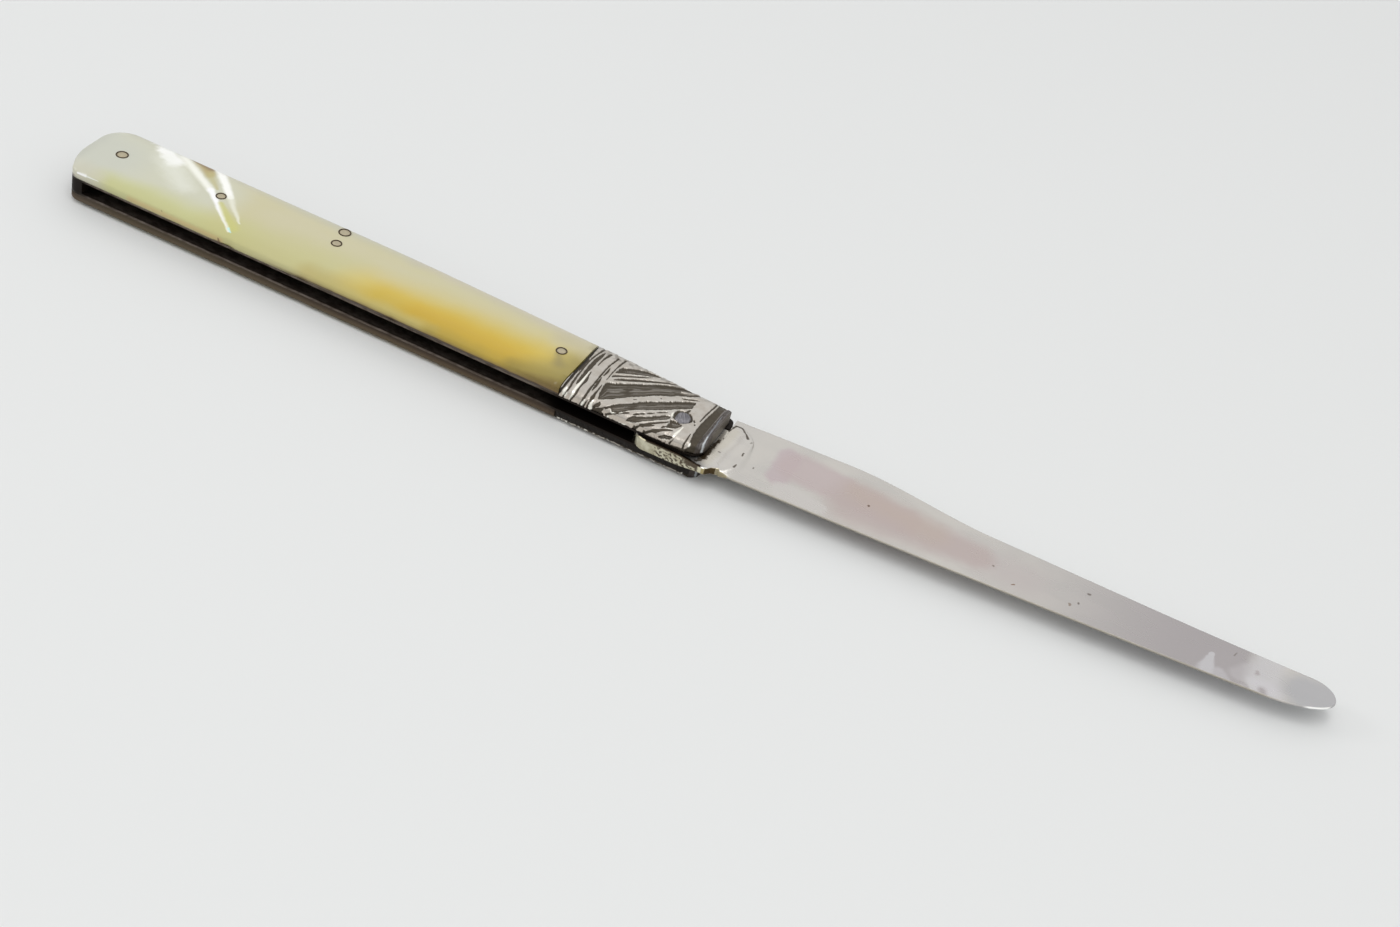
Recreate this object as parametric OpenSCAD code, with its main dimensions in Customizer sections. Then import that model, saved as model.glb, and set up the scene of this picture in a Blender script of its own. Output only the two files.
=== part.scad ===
/* [Handle outline] */
// Pivot axis to the butt end
butt_len = 90; // [80:0.1:100]
// Pivot axis to the front end of the bolsters
front_len = 4.5; // [4:0.1:5.5]
// Pivot axis to the belly edge, at the front
belly_front = 3.75; // [3.6:0.05:4]
// Pivot axis to the belly edge, at the butt
belly_butt = 4.15; // [3.8:0.05:4.5]
// Pivot axis to the back edge, at the front
back_front = 6.3; // [6:0.05:6.8]
// Pivot axis to the back edge, where the back starts to fall to the front
back_shoulder = 7.4; // [6.9:0.05:7.5]
// Pivot axis to the back edge, over the butt half
back_butt = 8.4; // [7.8:0.05:8.8]
// Pivot axis to the start of the fall to the front
shoulder_len = 12; // [8:0.5:14]
// Pivot axis to the bend at mid back
bend_len = 42; // [36:1:46]
// Radius of the back corner of the butt
butt_r = 3.7; // [2.5:0.1:4.2]
// How far the slanted end runs along the belly
slant_run = 1.9; // [1:0.1:3]
// How far the slanted end starts above the belly edge
slant_rise = 3.7; // [3:0.1:5]

/* [Layers] */
// Thickness of a pearl scale, and of a bolster
scale_t = 1.6; // [1.4:0.05:2]
// Thickness of a brass liner
liner_t = 0.3; // [0.25:0.05:0.5]
// Blade slot between the liners, which is the thickness of the spring
slot_w = 1.8; // [1.6:0.05:2.2]
// Running gap between the tang and each liner
tang_gap = 0.05; // [0.03:0.01:0.08]
// Height of the straight side of a scale, above its liner
side_h = 0.85; // [0.6:0.05:1.1]
// How far the rounded shoulder reaches in from the edge
shoulder_w = 2.3; // [1.6:0.1:2.6]

/* [Bolsters] */
// Pivot axis to the joint between bolster and pearl
bolster_len = 15.2; // [14:0.2:17.6]
// Depth of the cut ornament
cut_depth = 0.22; // [0.1:0.02:0.34]
// Length of the end band in front of the wide groove
end_band = 1.1; // [0.8:0.1:1.4]
// Width of the wide groove
wide_groove = 1.1; // [0.6:0.1:1.3]
// Width of the plain band between the wide groove and the panel of flutes
plain_band = 2.1; // [1.6:0.1:2.5]
// Width of the strip of cross cuts between the panel and the pearl
cross_strip = 4.4; // [4.2:0.1:5]

/* [Blade] */
// Room between the closed tip and the butt end
tip_room = 4.4; // [4:0.1:6]
// Angle of the open blade to the handle, to the back
blade_lift = 3.8; // [2:0.1:4]
// Pivot line to the spine, at the root
spine_root = 7.05; // [6.8:0.05:7.4]
// Pivot line to the spine, beside the tip
spine_tip = 2.2; // [1.7:0.1:2.6]
// Pivot line to the cutting edge, at the root
edge_root = 3.9; // [3.6:0.05:4]
// Pivot line to the cutting edge, at the belly of the blade
edge_belly = 4.35; // [4.05:0.05:4.5]
// Pivot axis to the start of the step down in the spine
step_start = 21; // [16:1:26]
// Pivot axis to the end of the step down in the spine
step_end = 41; // [34:1:48]
// How far the spine drops over the step
step_drop = 2.1; // [1.5:0.1:2.8]
// Blade thickness at the spine
spine_t = 1.15; // [0.9:0.05:1.3]
// Blade thickness at the cutting edge
edge_t = 0.3; // [0.2:0.05:0.5]

/* [Tang and spring] */
// Pivot axis to the two flats of the tang that rest on the spring
tang_flat = 4.4; // [4.2:0.05:4.6]
// Pivot axis to the rear end of the tang
tang_rear = 4.8; // [4.4:0.1:5.2]
// Radius of the rear corner of the tang on the kick side
tang_corner = 2.2; // [1.6:0.1:3]
// Pivot axis to the front end of the kick
kick_len = 5.7; // [5.4:0.1:6]
// Pivot axis to the rounded front end of the thick tang
tang_len = 8.7; // [8:0.1:9.6]
// Pivot line to the top of the thick tang, in front of the shoulder
tang_top = 6; // [5.6:0.1:6.4]
// Gap between the spring and a tang flat
flat_gap = 0.03; // [0.02:0.01:0.06]
// How far the spring reaches past the bolsters
spring_reach = 0.5; // [0.1:0.05:0.6]
// How far the front end of the spring stands proud of the back
spring_proud = 0.3; // [0:0.05:0.4]
// Gap between the end of the spring and the shoulder of the blade
shoulder_gap = 0.25; // [0.15:0.05:0.5]
// Height of the spring at its own pin
spring_mid = 3.2; // [3:0.1:3.6]
// Height of the spring where its tail begins
spring_neck = 2.8; // [2.4:0.1:3.4]
// Gap between the closed tip and the foot of the spring's tail
tip_gap = 0.8; // [0.5:0.1:1]
// Turn of the blade from open to closed, in degrees
closed_turn = 181; // [180:0.25:181.5]

/* [Pins] */
// Radius of the pivot pin
pivot_r = 1.1; // [0.9:0.05:1.3]
// Running clearance of the tang round the pivot pin
pivot_gap = 0.04; // [0.03:0.01:0.08]
// Radius of the butt pin and the spring pin
main_pin_r = 0.75; // [0.6:0.05:0.85]
// Radius of the small pins that hold the pearl
scale_pin_r = 0.65; // [0.5:0.05:0.75]
// Butt end to the butt pin
butt_pin_inset = 5.15; // [5:0.05:5.8]
// Height of the butt pin over the pivot axis
butt_pin_y = 2.35; // [2.2:0.05:2.8]
// Pivot axis to the spring pin, along the handle
spring_pin_len = 53; // [51:0.1:55]
// Back edge to the spring pin
spring_pin_inset = 1.7; // [1.4:0.05:1.8]
// Pivot axis to the pearl pin next to the bolster
first_pin_len = 18.4; // [18:0.1:22]
// Height of that pin over the pivot axis
first_pin_y = 2.6; // [2:0.1:4]
// Pivot axis to the pearl pin next to the spring pin
second_pin_len = 52.5; // [48:0.1:56]
// Height of that pin over the pivot axis
second_pin_y = 3.85; // [2.6:0.05:4]
// Pivot axis to the pearl pin nearest the butt
third_pin_len = 69.7; // [64:0.1:74]
// Height of that pin over the pivot axis
third_pin_y = 2.95; // [2:0.05:4]

/* [Hidden] */
$fn = 48;
// How far a cutting shape reaches past what it cuts
over = 1;
// Levels of the layers, from the rear crown at 0 to the front crown
slot_z = scale_t + liner_t;
front_liner_z = slot_z + slot_w;
front_scale_z = front_liner_z + liner_t;
handle_t = front_scale_z + scale_t;
mid_z = handle_t / 2;
// The blade is as long as the handle has room for
blade_len = butt_len - tip_room;
spring_end = front_len + spring_reach;
spring_face = tang_flat + flat_gap;
blade_shoulder = spring_end + shoulder_gap;
butt_pin_p = [butt_pin_inset - butt_len, butt_pin_y];
spring_pin_p = [-spring_pin_len, back_butt - spring_pin_inset];
scale_pin_ps = [
  [-first_pin_len, first_pin_y],
  [-second_pin_len, second_pin_y],
  [-third_pin_len, third_pin_y]
];
// Steps that round a shoulder and a corner
shoulder_steps = 4;
corner_steps = 6;

// Outline corners as x, y and radius, anticlockwise from the belly at the front;
// the front end can be moved out, and the back can stand proud there
function handle_corners(reach = 0, proud = 0) = [
  [front_len + reach, -belly_front, 2.2],
  [front_len + reach, back_front + proud, 1],
  [-shoulder_len, back_shoulder, 150],
  [-bend_len, back_butt, 300],
  [-butt_len, back_butt, butt_r],
  [-butt_len, slant_rise - belly_butt, 9],
  [slant_run - butt_len, -belly_butt, 1.6]
];

function unit(v) = v / norm(v);
function xy(p) = [p.x, p.y];
function short_turn(a, b) = let (t = b - a) t > 180 ? t - 360 : t < -180 ? t + 360 : t;

// Points round a corner at b, between its neighbours a and c
function corner_arc(a, b, c, r) =
  let (
    u = unit(a - b),
    v = unit(c - b),
    half = acos(u * v) / 2,
    mid = b + unit(u + v) * r / sin(half),
    from = b + u * r / tan(half) - mid,
    to = b + v * r / tan(half) - mid,
    start = atan2(from.y, from.x),
    turn = short_turn(start, atan2(to.y, to.x))
  )
  [for (i = [0:corner_steps]) let (w = start + turn * i / corner_steps) mid + r * [cos(w), sin(w)]];

// Outline with rounded corners, moved in by a distance from each side
function rounded(corners, inset = 0) =
  let (
    n = len(corners),
    moved = [
      for (i = [0:n - 1])
        let (
          b = xy(corners[i]),
          u = unit(xy(corners[(i + n - 1) % n]) - b),
          v = unit(xy(corners[(i + 1) % n]) - b)
        )
        b + unit(u + v) * inset / sin(acos(u * v) / 2)
    ]
  )
  [
    for (i = [0:n - 1])
      let (r = max(corners[i][2] - inset, 0.2))
      each corner_arc(moved[(i + n - 1) % n], moved[i], moved[(i + 1) % n], r)
  ];

// Drop under the crown and inset of each ring of a rounded shoulder, from the side up
shoulder_rings = [
  for (i = [0:shoulder_steps])
    let (w = 90 * i / shoulder_steps)
    [(scale_t - side_h) * (1 - sin(w)), shoulder_w * (1 - cos(w))]
];
// Level and inset of each ring of the handle, from the rear crown to the front crown
envelope_rings = concat(
  [for (i = [shoulder_steps:-1:0]) shoulder_rings[i]],
  [for (r = shoulder_rings) [handle_t - r[0], r[1]]]
);

// Closed skin through rings that all have the same count of points
module skin(rings) {
  count = len(rings[0]);
  last = len(rings) - 1;
  polyhedron(
    points = [for (r = rings) each r],
    faces = concat(
      [[for (i = [0:count - 1]) i]],
      [
        for (k = [0:last - 1], i = [0:count - 1])
          let (j = (i + 1) % count)
          [k * count + j, k * count + i, (k + 1) * count + i, (k + 1) * count + j]
      ],
      [[for (i = [count - 1:-1:0]) last * count + i]]
    )
  );
}

// Outer shape of the handle, flat on both crowns; its front is moved out by one shoulder,
// because the bolsters end square
module handle_envelope() {
  corners = handle_corners(shoulder_w);
  skin([for (r = envelope_rings) [for (p = rounded(corners, r[1])) [p.x, p.y, r[0]]]]);
}

module handle_plan(z0, z1) {
  translate([0, 0, z0]) linear_extrude(z1 - z0) polygon(rounded(handle_corners()));
}

module slab(x0, x1, y0, y1, z0, z1) {
  translate([x0, y0, z0]) cube([x1 - x0, y1 - y0, z1 - z0]);
}

// Slab over the whole height of the handle's outline
module cross_slab(x0, x1, z0, z1) {
  slab(x0, x1, -belly_butt - over, back_butt + over, z0, z1);
}

module pin(p, r, z0, z1) {
  translate([p.x, p.y, z0]) cylinder(h = z1 - z0, r = r);
}

module through_pins(z0, z1) {
  pin(butt_pin_p, main_pin_r, z0, z1);
  pin(spring_pin_p, main_pin_r, z0, z1);
}

module scale_pins(z0, z1) {
  for (p = scale_pin_ps) pin(p, scale_pin_r, z0, z1);
}

module liner(z) {
  color("darkkhaki")
    difference() {
      handle_plan(z, z + liner_t);
      through_pins(z - over, z + liner_t + over);
      scale_pins(z - over, z + liner_t + over);
      pin([0, 0], pivot_r, z - over, z + liner_t + over);
    }
}

module front_liner() { liner(front_liner_z); }
module rear_liner() { liner(slot_z - liner_t); }

// Pearl cover of one side, from its liner to its crown
module scale(z0) {
  color("beige")
    difference() {
      intersection() {
        handle_envelope();
        cross_slab(-butt_len - over, -bolster_len, z0, z0 + scale_t);
      }
      through_pins(z0 - over, z0 + scale_t + over);
      scale_pins(z0 - over, z0 + scale_t + over);
    }
}

module front_scale() { scale(front_scale_z); }
module rear_scale() { scale(0); }

// Centre of the circle through three points
function circle_centre(a, b, c) =
  let (
    d = 2 * (a.x * (b.y - c.y) + b.x * (c.y - a.y) + c.x * (a.y - b.y)),
    sa = a * a,
    sb = b * b,
    sc = c * c
  )
  [
    (sa * (b.y - c.y) + sb * (c.y - a.y) + sc * (a.y - b.y)) / d,
    (sa * (c.x - b.x) + sb * (a.x - c.x) + sc * (b.x - a.x)) / d
  ];

// The panel of sweeping flutes on a bolster
panel_front = front_len - end_band - wide_groove - plain_band;
panel_rear = cross_strip - bolster_len;
panel_h = belly_front + back_shoulder;
// Upper and lower edge of each flute as three points on a circle, as shares of the panel's
// length from its rear and of its height from the belly
flutes = [
  [[0, 0.84], [0.2, 0.92], [0.42, 0.945], [0, 0.65], [0.2, 0.79], [0.42, 0.91]],
  [[0, 0.56], [0.33, 0.76], [0.66, 0.92], [0, 0.51], [0.33, 0.72], [0.66, 0.89]],
  [[0, 0.4], [0.47, 0.7], [0.84, 0.89], [0.03, 0.08], [0.47, 0.485], [0.95, 0.85]],
  [[0.22, 0.07], [0.61, 0.44], [0.98, 0.74], [0.3, -0.06], [0.65, 0.32], [1, 0.58]],
  [[0.46, 0.02], [0.64, 0.18], [0.88, 0.3], [0.5, -0.12], [0.7, 0.11], [0.88, 0.25]],
  [[0.62, -0.12], [0.77, 0.06], [0.9, 0.17], [0.63, -0.16], [0.78, 0.025], [0.9, 0.13]]
];
// Fine cuts across the strip beside the pearl: distance from the pearl and width
cross_cuts = [[0.9, 0.3], [1.5, 0.35], [3.1, 0.25], [3.6, 0.2]];

function panel_point(s) =
  [panel_rear + s.x * (panel_front - panel_rear), s.y * panel_h - belly_front];

// Round disc whose rim runs through three points of the panel
module rim_disc(a, b, c, h) {
  centre = circle_centre(a, b, c);
  translate([centre.x, centre.y, 0]) cylinder(h = h, r = norm(a - centre), $fn = 240);
}

// One sweeping flute between its upper and its lower rim
module flute(f) {
  p = [for (s = f) panel_point(s)];
  intersection() {
    difference() {
      rim_disc(p[0], p[1], p[2], over);
      translate([0, 0, -over]) rim_disc(p[3], p[4], p[5], 3 * over);
    }
    slab(p[0].x, p[2].x, p[3].y, p[2].y, 0, over);
  }
}

// All that is cut into a bolster's crown, with its floor at z = 0
module ornament() {
  for (f = flutes) flute(f);
  for (c = cross_cuts) cross_slab(c[0] - bolster_len, c[0] + c[1] - bolster_len, 0, over);
  cross_slab(front_len - end_band - wide_groove, front_len - end_band, 0, over);
}

// One bolster, with its crown up at z = 0
module bolster_blank() {
  difference() {
    intersection() {
      translate([0, 0, -handle_t]) handle_envelope();
      handle_plan(-scale_t, 0);
      cross_slab(-bolster_len, front_len + over, -scale_t, over);
    }
    translate([0, 0, -cut_depth]) ornament();
    pin([0, 0], pivot_r, -handle_t, over);
  }
}

module front_bolster() {
  color("silver") translate([0, 0, handle_t]) bolster_blank();
}

module rear_bolster() {
  color("silver") mirror([0, 0, 1]) bolster_blank();
}

// The belly side of the tang leans by the turn beyond half a turn, to lie flat on the spring
function kick_y(x) = -tang_flat + x * tan(closed_turn - 180);

// Rear end, flats, kick and rounded front of the thick tang of the open blade
module tang_outline() {
  polygon(rounded([
    [-tang_rear, kick_y(-tang_rear), tang_corner],
    [kick_len, kick_y(kick_len), 0.3],
    [kick_len + 0.5, kick_y(kick_len) + 0.7, 0.3],
    [tang_len, kick_y(kick_len) + 1.7, 2.6],
    [tang_len, tang_top - 1.4, 2.4],
    [blade_shoulder + 1.2, tang_top, 0.9],
    [blade_shoulder, tang_top, 0.3],
    [blade_shoulder, tang_flat, 0.15],
    [-tang_rear, tang_flat, 3]
  ]));
}

// Smooth step from 0 to 1
function ease(t) = let (s = min(max(t, 0), 1)) s * s * (3 - 2 * s);
// Spine and cutting edge, measured from the blade's own line through the pivot
function spine_y(x) =
  let (rest = spine_root - step_drop - spine_tip)
  spine_root
  - step_drop * ease((x - step_start) / (step_end - step_start))
  - rest * ease((x - step_start) / (blade_len - step_start));
function edge_y(x) = -edge_root - (edge_belly - edge_root) * sin(180 * x / blade_len);
// The round tip: where its curve starts on the spine and on the edge, and its own height
tip_spine = blade_len - 3.2;
tip_edge = blade_len - 9;
tip_y = -0.6;
edge_start = kick_len + 1.2;
blade_steps = 16;

// Point at angle w of a quarter ellipse from a blade edge, at 90, to the tip, at 0
function tip_point(x0, y0, w) = [x0 + (blade_len - x0) * cos(w), tip_y + (y0 - tip_y) * sin(w)];

module blade_outline() {
  edge_run = tip_edge - edge_start;
  spine_run = tip_spine - step_start;
  polygon(concat(
    [
      for (i = [0:blade_steps])
        let (x = edge_start + edge_run * i / blade_steps) [x, edge_y(x)]
    ],
    [for (w = [80:-10:0]) tip_point(tip_edge, edge_y(tip_edge), w)],
    [for (w = [15:15:75]) tip_point(tip_spine, spine_y(tip_spine), w)],
    [
      for (i = [blade_steps:-1:0])
        let (x = step_start + spine_run * i / blade_steps) [x, spine_y(x)]
    ],
    [
      [blade_shoulder + 0.5, spine_root],
      [blade_shoulder + 0.2, spine_root - 0.3],
      [blade_shoulder + 0.2, 0]
    ]
  ));
}

// Wedge that thins the blade from the spine to the edge
module blade_wedge() {
  rotate([90, 0, 90])
    linear_extrude(blade_len + over)
      polygon([
        [-edge_belly - over, -edge_t / 2],
        [-edge_root, -edge_t / 2],
        [spine_root, -spine_t / 2],
        [spine_root + over, -spine_t / 2],
        [spine_root + over, spine_t / 2],
        [spine_root, spine_t / 2],
        [-edge_root, edge_t / 2],
        [-edge_belly - over, edge_t / 2]
      ]);
}

module blade() {
  tang_t = slot_w - 2 * tang_gap;
  color("lightgray")
    translate([0, 0, mid_z])
      difference() {
        union() {
          rotate([0, 0, blade_lift])
            intersection() {
              translate([0, 0, -spine_t]) linear_extrude(2 * spine_t) blade_outline();
              blade_wedge();
            }
          translate([0, 0, -tang_t / 2]) linear_extrude(tang_t) tang_outline();
        }
        pin([0, 0], pivot_r + pivot_gap, -slot_w, slot_w);
      }
}

// Where the spring's lower edge runs, from its front end to the belly side of the butt;
// the tail widens round the butt pin and its foot stands clear of the closed tip
module spring_region() {
  tail_top = back_butt - spring_neck;
  lobe_y = butt_pin_y - main_pin_r - 0.9;
  foot_x = -blade_len - tip_gap;
  polygon([
    [spring_end + over, spring_face],
    [-shoulder_len, spring_face],
    [-spring_pin_len, back_butt - spring_mid],
    [butt_pin_p.x + 8.5, tail_top],
    [butt_pin_p.x + 5, tail_top - 0.8],
    [butt_pin_p.x + 3, butt_pin_y - 0.9],
    [butt_pin_p.x + 1.4, lobe_y],
    [foot_x + 0.8, lobe_y - 0.6],
    [foot_x, lobe_y - 1.8],
    [foot_x, -belly_butt - over],
    [-butt_len - over, -belly_butt - over],
    [-butt_len - over, back_butt + over],
    [spring_end + over, back_butt + over]
  ]);
}

module backspring() {
  color("gray")
    difference() {
      translate([0, 0, slot_z])
        linear_extrude(slot_w)
          intersection() {
            polygon(rounded(handle_corners(spring_reach, spring_proud)));
            spring_region();
          }
      through_pins(slot_z - over, front_liner_z + over);
    }
}

module pivot_pin() {
  color("slategray") pin([0, 0], pivot_r, 0, handle_t);
}

// This pin stands on the rounded shoulder, and its ends are filed flush with it
module spring_pin() {
  color("tan")
    intersection() {
      handle_envelope();
      pin(spring_pin_p, main_pin_r, -over, handle_t + over);
    }
}

module butt_pin() {
  color("tan") pin(butt_pin_p, main_pin_r, 0, handle_t);
}

module front_scale_pins() {
  color("tan") scale_pins(front_liner_z, handle_t);
}

module rear_scale_pins() {
  color("tan") scale_pins(0, slot_z);
}

blade();
backspring();
front_liner();
rear_liner();
front_bolster();
rear_bolster();
front_scale();
rear_scale();
pivot_pin();
spring_pin();
butt_pin();
front_scale_pins();
rear_scale_pins();
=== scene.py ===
import math

import bpy
import numpy as np
from mathutils import Matrix, Vector, noise


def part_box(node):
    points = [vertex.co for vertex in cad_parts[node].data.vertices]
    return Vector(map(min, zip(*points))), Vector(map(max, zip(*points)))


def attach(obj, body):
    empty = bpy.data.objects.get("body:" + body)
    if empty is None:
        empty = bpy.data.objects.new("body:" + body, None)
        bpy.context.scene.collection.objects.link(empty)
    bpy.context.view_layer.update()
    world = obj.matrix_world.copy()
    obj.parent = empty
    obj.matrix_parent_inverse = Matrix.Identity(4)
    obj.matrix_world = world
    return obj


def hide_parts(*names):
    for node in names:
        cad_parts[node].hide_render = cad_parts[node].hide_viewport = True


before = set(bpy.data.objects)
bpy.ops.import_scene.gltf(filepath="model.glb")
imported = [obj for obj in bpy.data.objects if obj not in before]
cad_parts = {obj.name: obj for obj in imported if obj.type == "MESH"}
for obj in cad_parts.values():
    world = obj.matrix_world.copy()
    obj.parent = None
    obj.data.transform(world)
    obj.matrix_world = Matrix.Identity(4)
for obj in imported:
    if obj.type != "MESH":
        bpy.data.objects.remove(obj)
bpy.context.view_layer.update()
scene = bpy.context.scene
mm = 0.001

# The camera stands where the photograph was taken from; millimetres, and degrees for the roll
viewpoint = {
    "place": (62.6, -213.0, 172.0),
    "aim": (3.58, 0.44, 0.0),
    "roll": 14.83,
    "lens": 57.47,
    "sensor": 36,
    "nearest": 5,
    "farthest": 20000,
}


def turnedTo(place, aim):
    # stands at one point and looks at another, both in metres
    turn = (aim - place).to_track_quat("-Z", "Y").to_matrix().to_4x4()
    return Matrix.Translation(place) @ turn


def makeCamera():
    v = viewpoint
    data = bpy.data.cameras.new("viewCamera")
    data.lens = v["lens"]
    data.sensor_width = v["sensor"]
    data.clip_start = v["nearest"] * mm
    data.clip_end = v["farthest"] * mm
    camera = bpy.data.objects.new("viewCamera", data)
    scene.collection.objects.link(camera)
    roll = Matrix.Rotation(math.radians(v["roll"]), 4, "Z")
    camera.matrix_world = turnedTo(Vector(v["place"]) * mm, Vector(v["aim"]) * mm) @ roll
    scene.camera = camera


makeCamera()


# Node trees. A value may be a number, a colour or the output of another node

def srgb(r, g, b):
    def linear(c):
        c /= 255
        return c / 12.92 if c < 0.04045 else ((c + 0.055) / 1.055) ** 2.4
    return (linear(r), linear(g), linear(b), 1)


class Nodes:
    def __init__(self, tree):
        self.tree = tree

    def feed(self, socket, value):
        if isinstance(value, bpy.types.NodeSocket):
            self.tree.links.new(value, socket)
        else:
            socket.default_value = value

    def add(self, kind, inputs=None, **settings):
        # inputs go by name or by number
        node = self.tree.nodes.new(kind)
        for key, value in settings.items():
            setattr(node, key, value)
        for key, value in (inputs or {}).items():
            self.feed(node.inputs[key], value)
        return node

    def math(self, operation, a, b=0.0, clamp=False):
        node = self.add("ShaderNodeMath", {0: a, 1: b}, operation=operation, use_clamp=clamp)
        return node.outputs[0]

    def times(self, a, b):
        return self.math("MULTIPLY", a, b)

    def vector(self, operation, a, b, result=0):
        node = self.add("ShaderNodeVectorMath", {0: a, 1: b}, operation=operation)
        return node.outputs[result]

    def axes(self, place):
        return self.add("ShaderNodeSeparateXYZ", {0: place}).outputs

    def ramp(self, value, low, high, to=(0.0, 1.0)):
        inputs = {"Value": value, "From Min": low, "From Max": high, "To Min": to[0],
                  "To Max": to[1]}
        return self.add("ShaderNodeMapRange", inputs,
                        interpolation_type="SMOOTHSTEP").outputs["Result"]

    def mix(self, mask, a, b):
        return self.add("ShaderNodeMix", {0: mask, 6: a, 7: b}, data_type="RGBA").outputs[2]

    def blend(self, mask, a, b):
        return self.add("ShaderNodeMix", {0: mask, 2: a, 3: b}, data_type="FLOAT").outputs[0]


class Group(Nodes):
    # A group whose inputs are given as label, kind and perhaps a value
    def __init__(self, name, kind, inputs, outputs):
        super().__init__(bpy.data.node_groups.new(name, kind))
        for label, socket, *value in inputs:
            made = self.newSocket(label, "INPUT", socket)
            if value:
                made.default_value = value[0]
        for label, socket in outputs:
            self.newSocket(label, "OUTPUT", socket)
        self.given = self.tree.nodes.new("NodeGroupInput").outputs
        self.result = self.tree.nodes.new("NodeGroupOutput").inputs

    def newSocket(self, label, way, kind):
        return self.tree.interface.new_socket(label, in_out=way, socket_type="NodeSocket" + kind)

    def give(self, **values):
        for key, value in values.items():
            self.feed(self.result[key], value)
        return self.tree


def makeBrushMark():
    # Soft mark along a line in the plane of the knife, for glints, stains and scratches
    t = Group("brushMark", "ShaderNodeTree", [
        ("Place", "Vector"), ("Start", "Vector"), ("End", "Vector"),
        ("StartWidth", "Float", 1.0), ("EndWidth", "Float", 1.0),
        ("Softness", "Float", 0.5), ("Strength", "Float", 1.0),
    ], [("Mask", "Float")])
    g = t.given
    flat = t.vector("MULTIPLY", g["Place"], (1, 1, 0))
    run = t.vector("SUBTRACT", g["End"], g["Start"])
    away = t.vector("SUBTRACT", flat, g["Start"])
    runSquared = t.math("ADD", t.vector("DOT_PRODUCT", run, run, "Value"), 0.0001)
    along = t.math("DIVIDE", t.vector("DOT_PRODUCT", away, run, "Value"), runSquared, True)
    nearest = t.add("ShaderNodeVectorMath", {0: run, "Scale": along}, operation="SCALE")
    gap = t.vector("DISTANCE", away, nearest.outputs[0], "Value")
    width = t.blend(along, g["StartWidth"], g["EndWidth"])
    soft = t.times(width, g["Softness"])
    return t.give(Mask=t.ramp(gap, t.math("SUBTRACT", width, soft), t.math("ADD", width, soft),
                              (g["Strength"], 0)))


def makePits():
    # Small round pits: a mask for their colour and a height for their depth
    t = Group("pits", "ShaderNodeTree",
              [("Place", "Vector"), ("Scale", "Float", 2.0), ("Amount", "Float", 0.2)],
              [("Mask", "Float"), ("Height", "Float")])
    cells = t.add("ShaderNodeTexVoronoi", {"Vector": t.given["Place"], "Scale": t.given["Scale"]})
    pick = t.add("ShaderNodeSeparateColor", {0: cells.outputs["Color"]})
    size = t.times(pick.outputs[0], t.given["Amount"])
    mask = t.ramp(cells.outputs["Distance"], 0.0, size, (1, 0))
    return t.give(Mask=mask, Height=t.math("SUBTRACT", 1.0, mask))


brushMark = makeBrushMark()
pits = makePits()


class Finish(Nodes):
    # A material that is built up layer by layer on Object coordinates in millimetres
    sockets = {"colour": "Base Color", "rough": "Roughness", "metal": "Metallic",
               "coat": "Coat Weight", "coatRough": "Coat Roughness", "ior": "IOR",
               "specular": "Specular IOR Level"}

    def __init__(self, name, turn=0.0):
        self.material = bpy.data.materials.new(name)
        self.material.use_nodes = True
        super().__init__(self.material.node_tree)
        self.shader = self.tree.nodes["Principled BSDF"]
        coords = self.add("ShaderNodeTexCoord")
        self.place = self.add("ShaderNodeMapping", {
            "Vector": coords.outputs["Object"], "Scale": (1 / mm, 1 / mm, 1 / mm),
            "Rotation": (0, 0, math.radians(turn)),
        }).outputs[0]

    def noise(self, scale, detail=3.0, stretch=(1, 1, 1)):
        place = self.add("ShaderNodeMapping", {"Vector": self.place, "Scale": stretch})
        inputs = {"Vector": place.outputs[0], "Scale": scale, "Detail": detail}
        return self.add("ShaderNodeTexNoise", inputs).outputs["Fac"]

    def ragged(self, scale, amount):
        # coordinates pushed about by noise, which gives a mark a worn border
        cloud = self.add("ShaderNodeTexNoise", {"Vector": self.place, "Scale": scale, "Detail": 4})
        centred = self.vector("SUBTRACT", cloud.outputs["Color"], (0.5, 0.5, 0.5))
        return self.add("ShaderNodeVectorMath", {0: centred, 1: (amount,) * 3, 2: self.place},
                        operation="MULTIPLY_ADD").outputs[0]

    def attribute(self, name):
        return self.add("ShaderNodeAttribute", attribute_name=name).outputs["Fac"]

    def group(self, tree, **values):
        return self.add("ShaderNodeGroup", values, node_tree=tree).outputs

    def marks(self, colour, place, items):
        # each mark: start, end, half width at start and end, softness, strength, colour
        for start, end, wide, soft, strength, tint in items:
            mask = self.group(
                brushMark, Place=place, Start=(*start, 0), End=(*end, 0),
                StartWidth=wide[0], EndWidth=wide[1], Softness=soft, Strength=strength,
            )["Mask"]
            colour = self.mix(mask, colour, srgb(*tint))
        return colour

    def speckle(self, colour, scale, amount, strength, tint):
        # pits over the whole piece; their height comes back for the bump
        spots = self.group(pits, Place=self.place, Scale=scale, Amount=amount)
        mask = self.times(spots["Mask"], strength)
        return self.mix(mask, colour, srgb(*tint)), spots["Height"]

    def bump(self, height, distance, strength):
        node = self.add("ShaderNodeBump", {"Strength": strength, "Distance": distance * mm,
                                           "Height": height})
        self.feed(self.shader.inputs["Normal"], node.outputs["Normal"])

    def set(self, **values):
        for key, value in values.items():
            self.feed(self.shader.inputs[self.sockets[key]], value)


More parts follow.
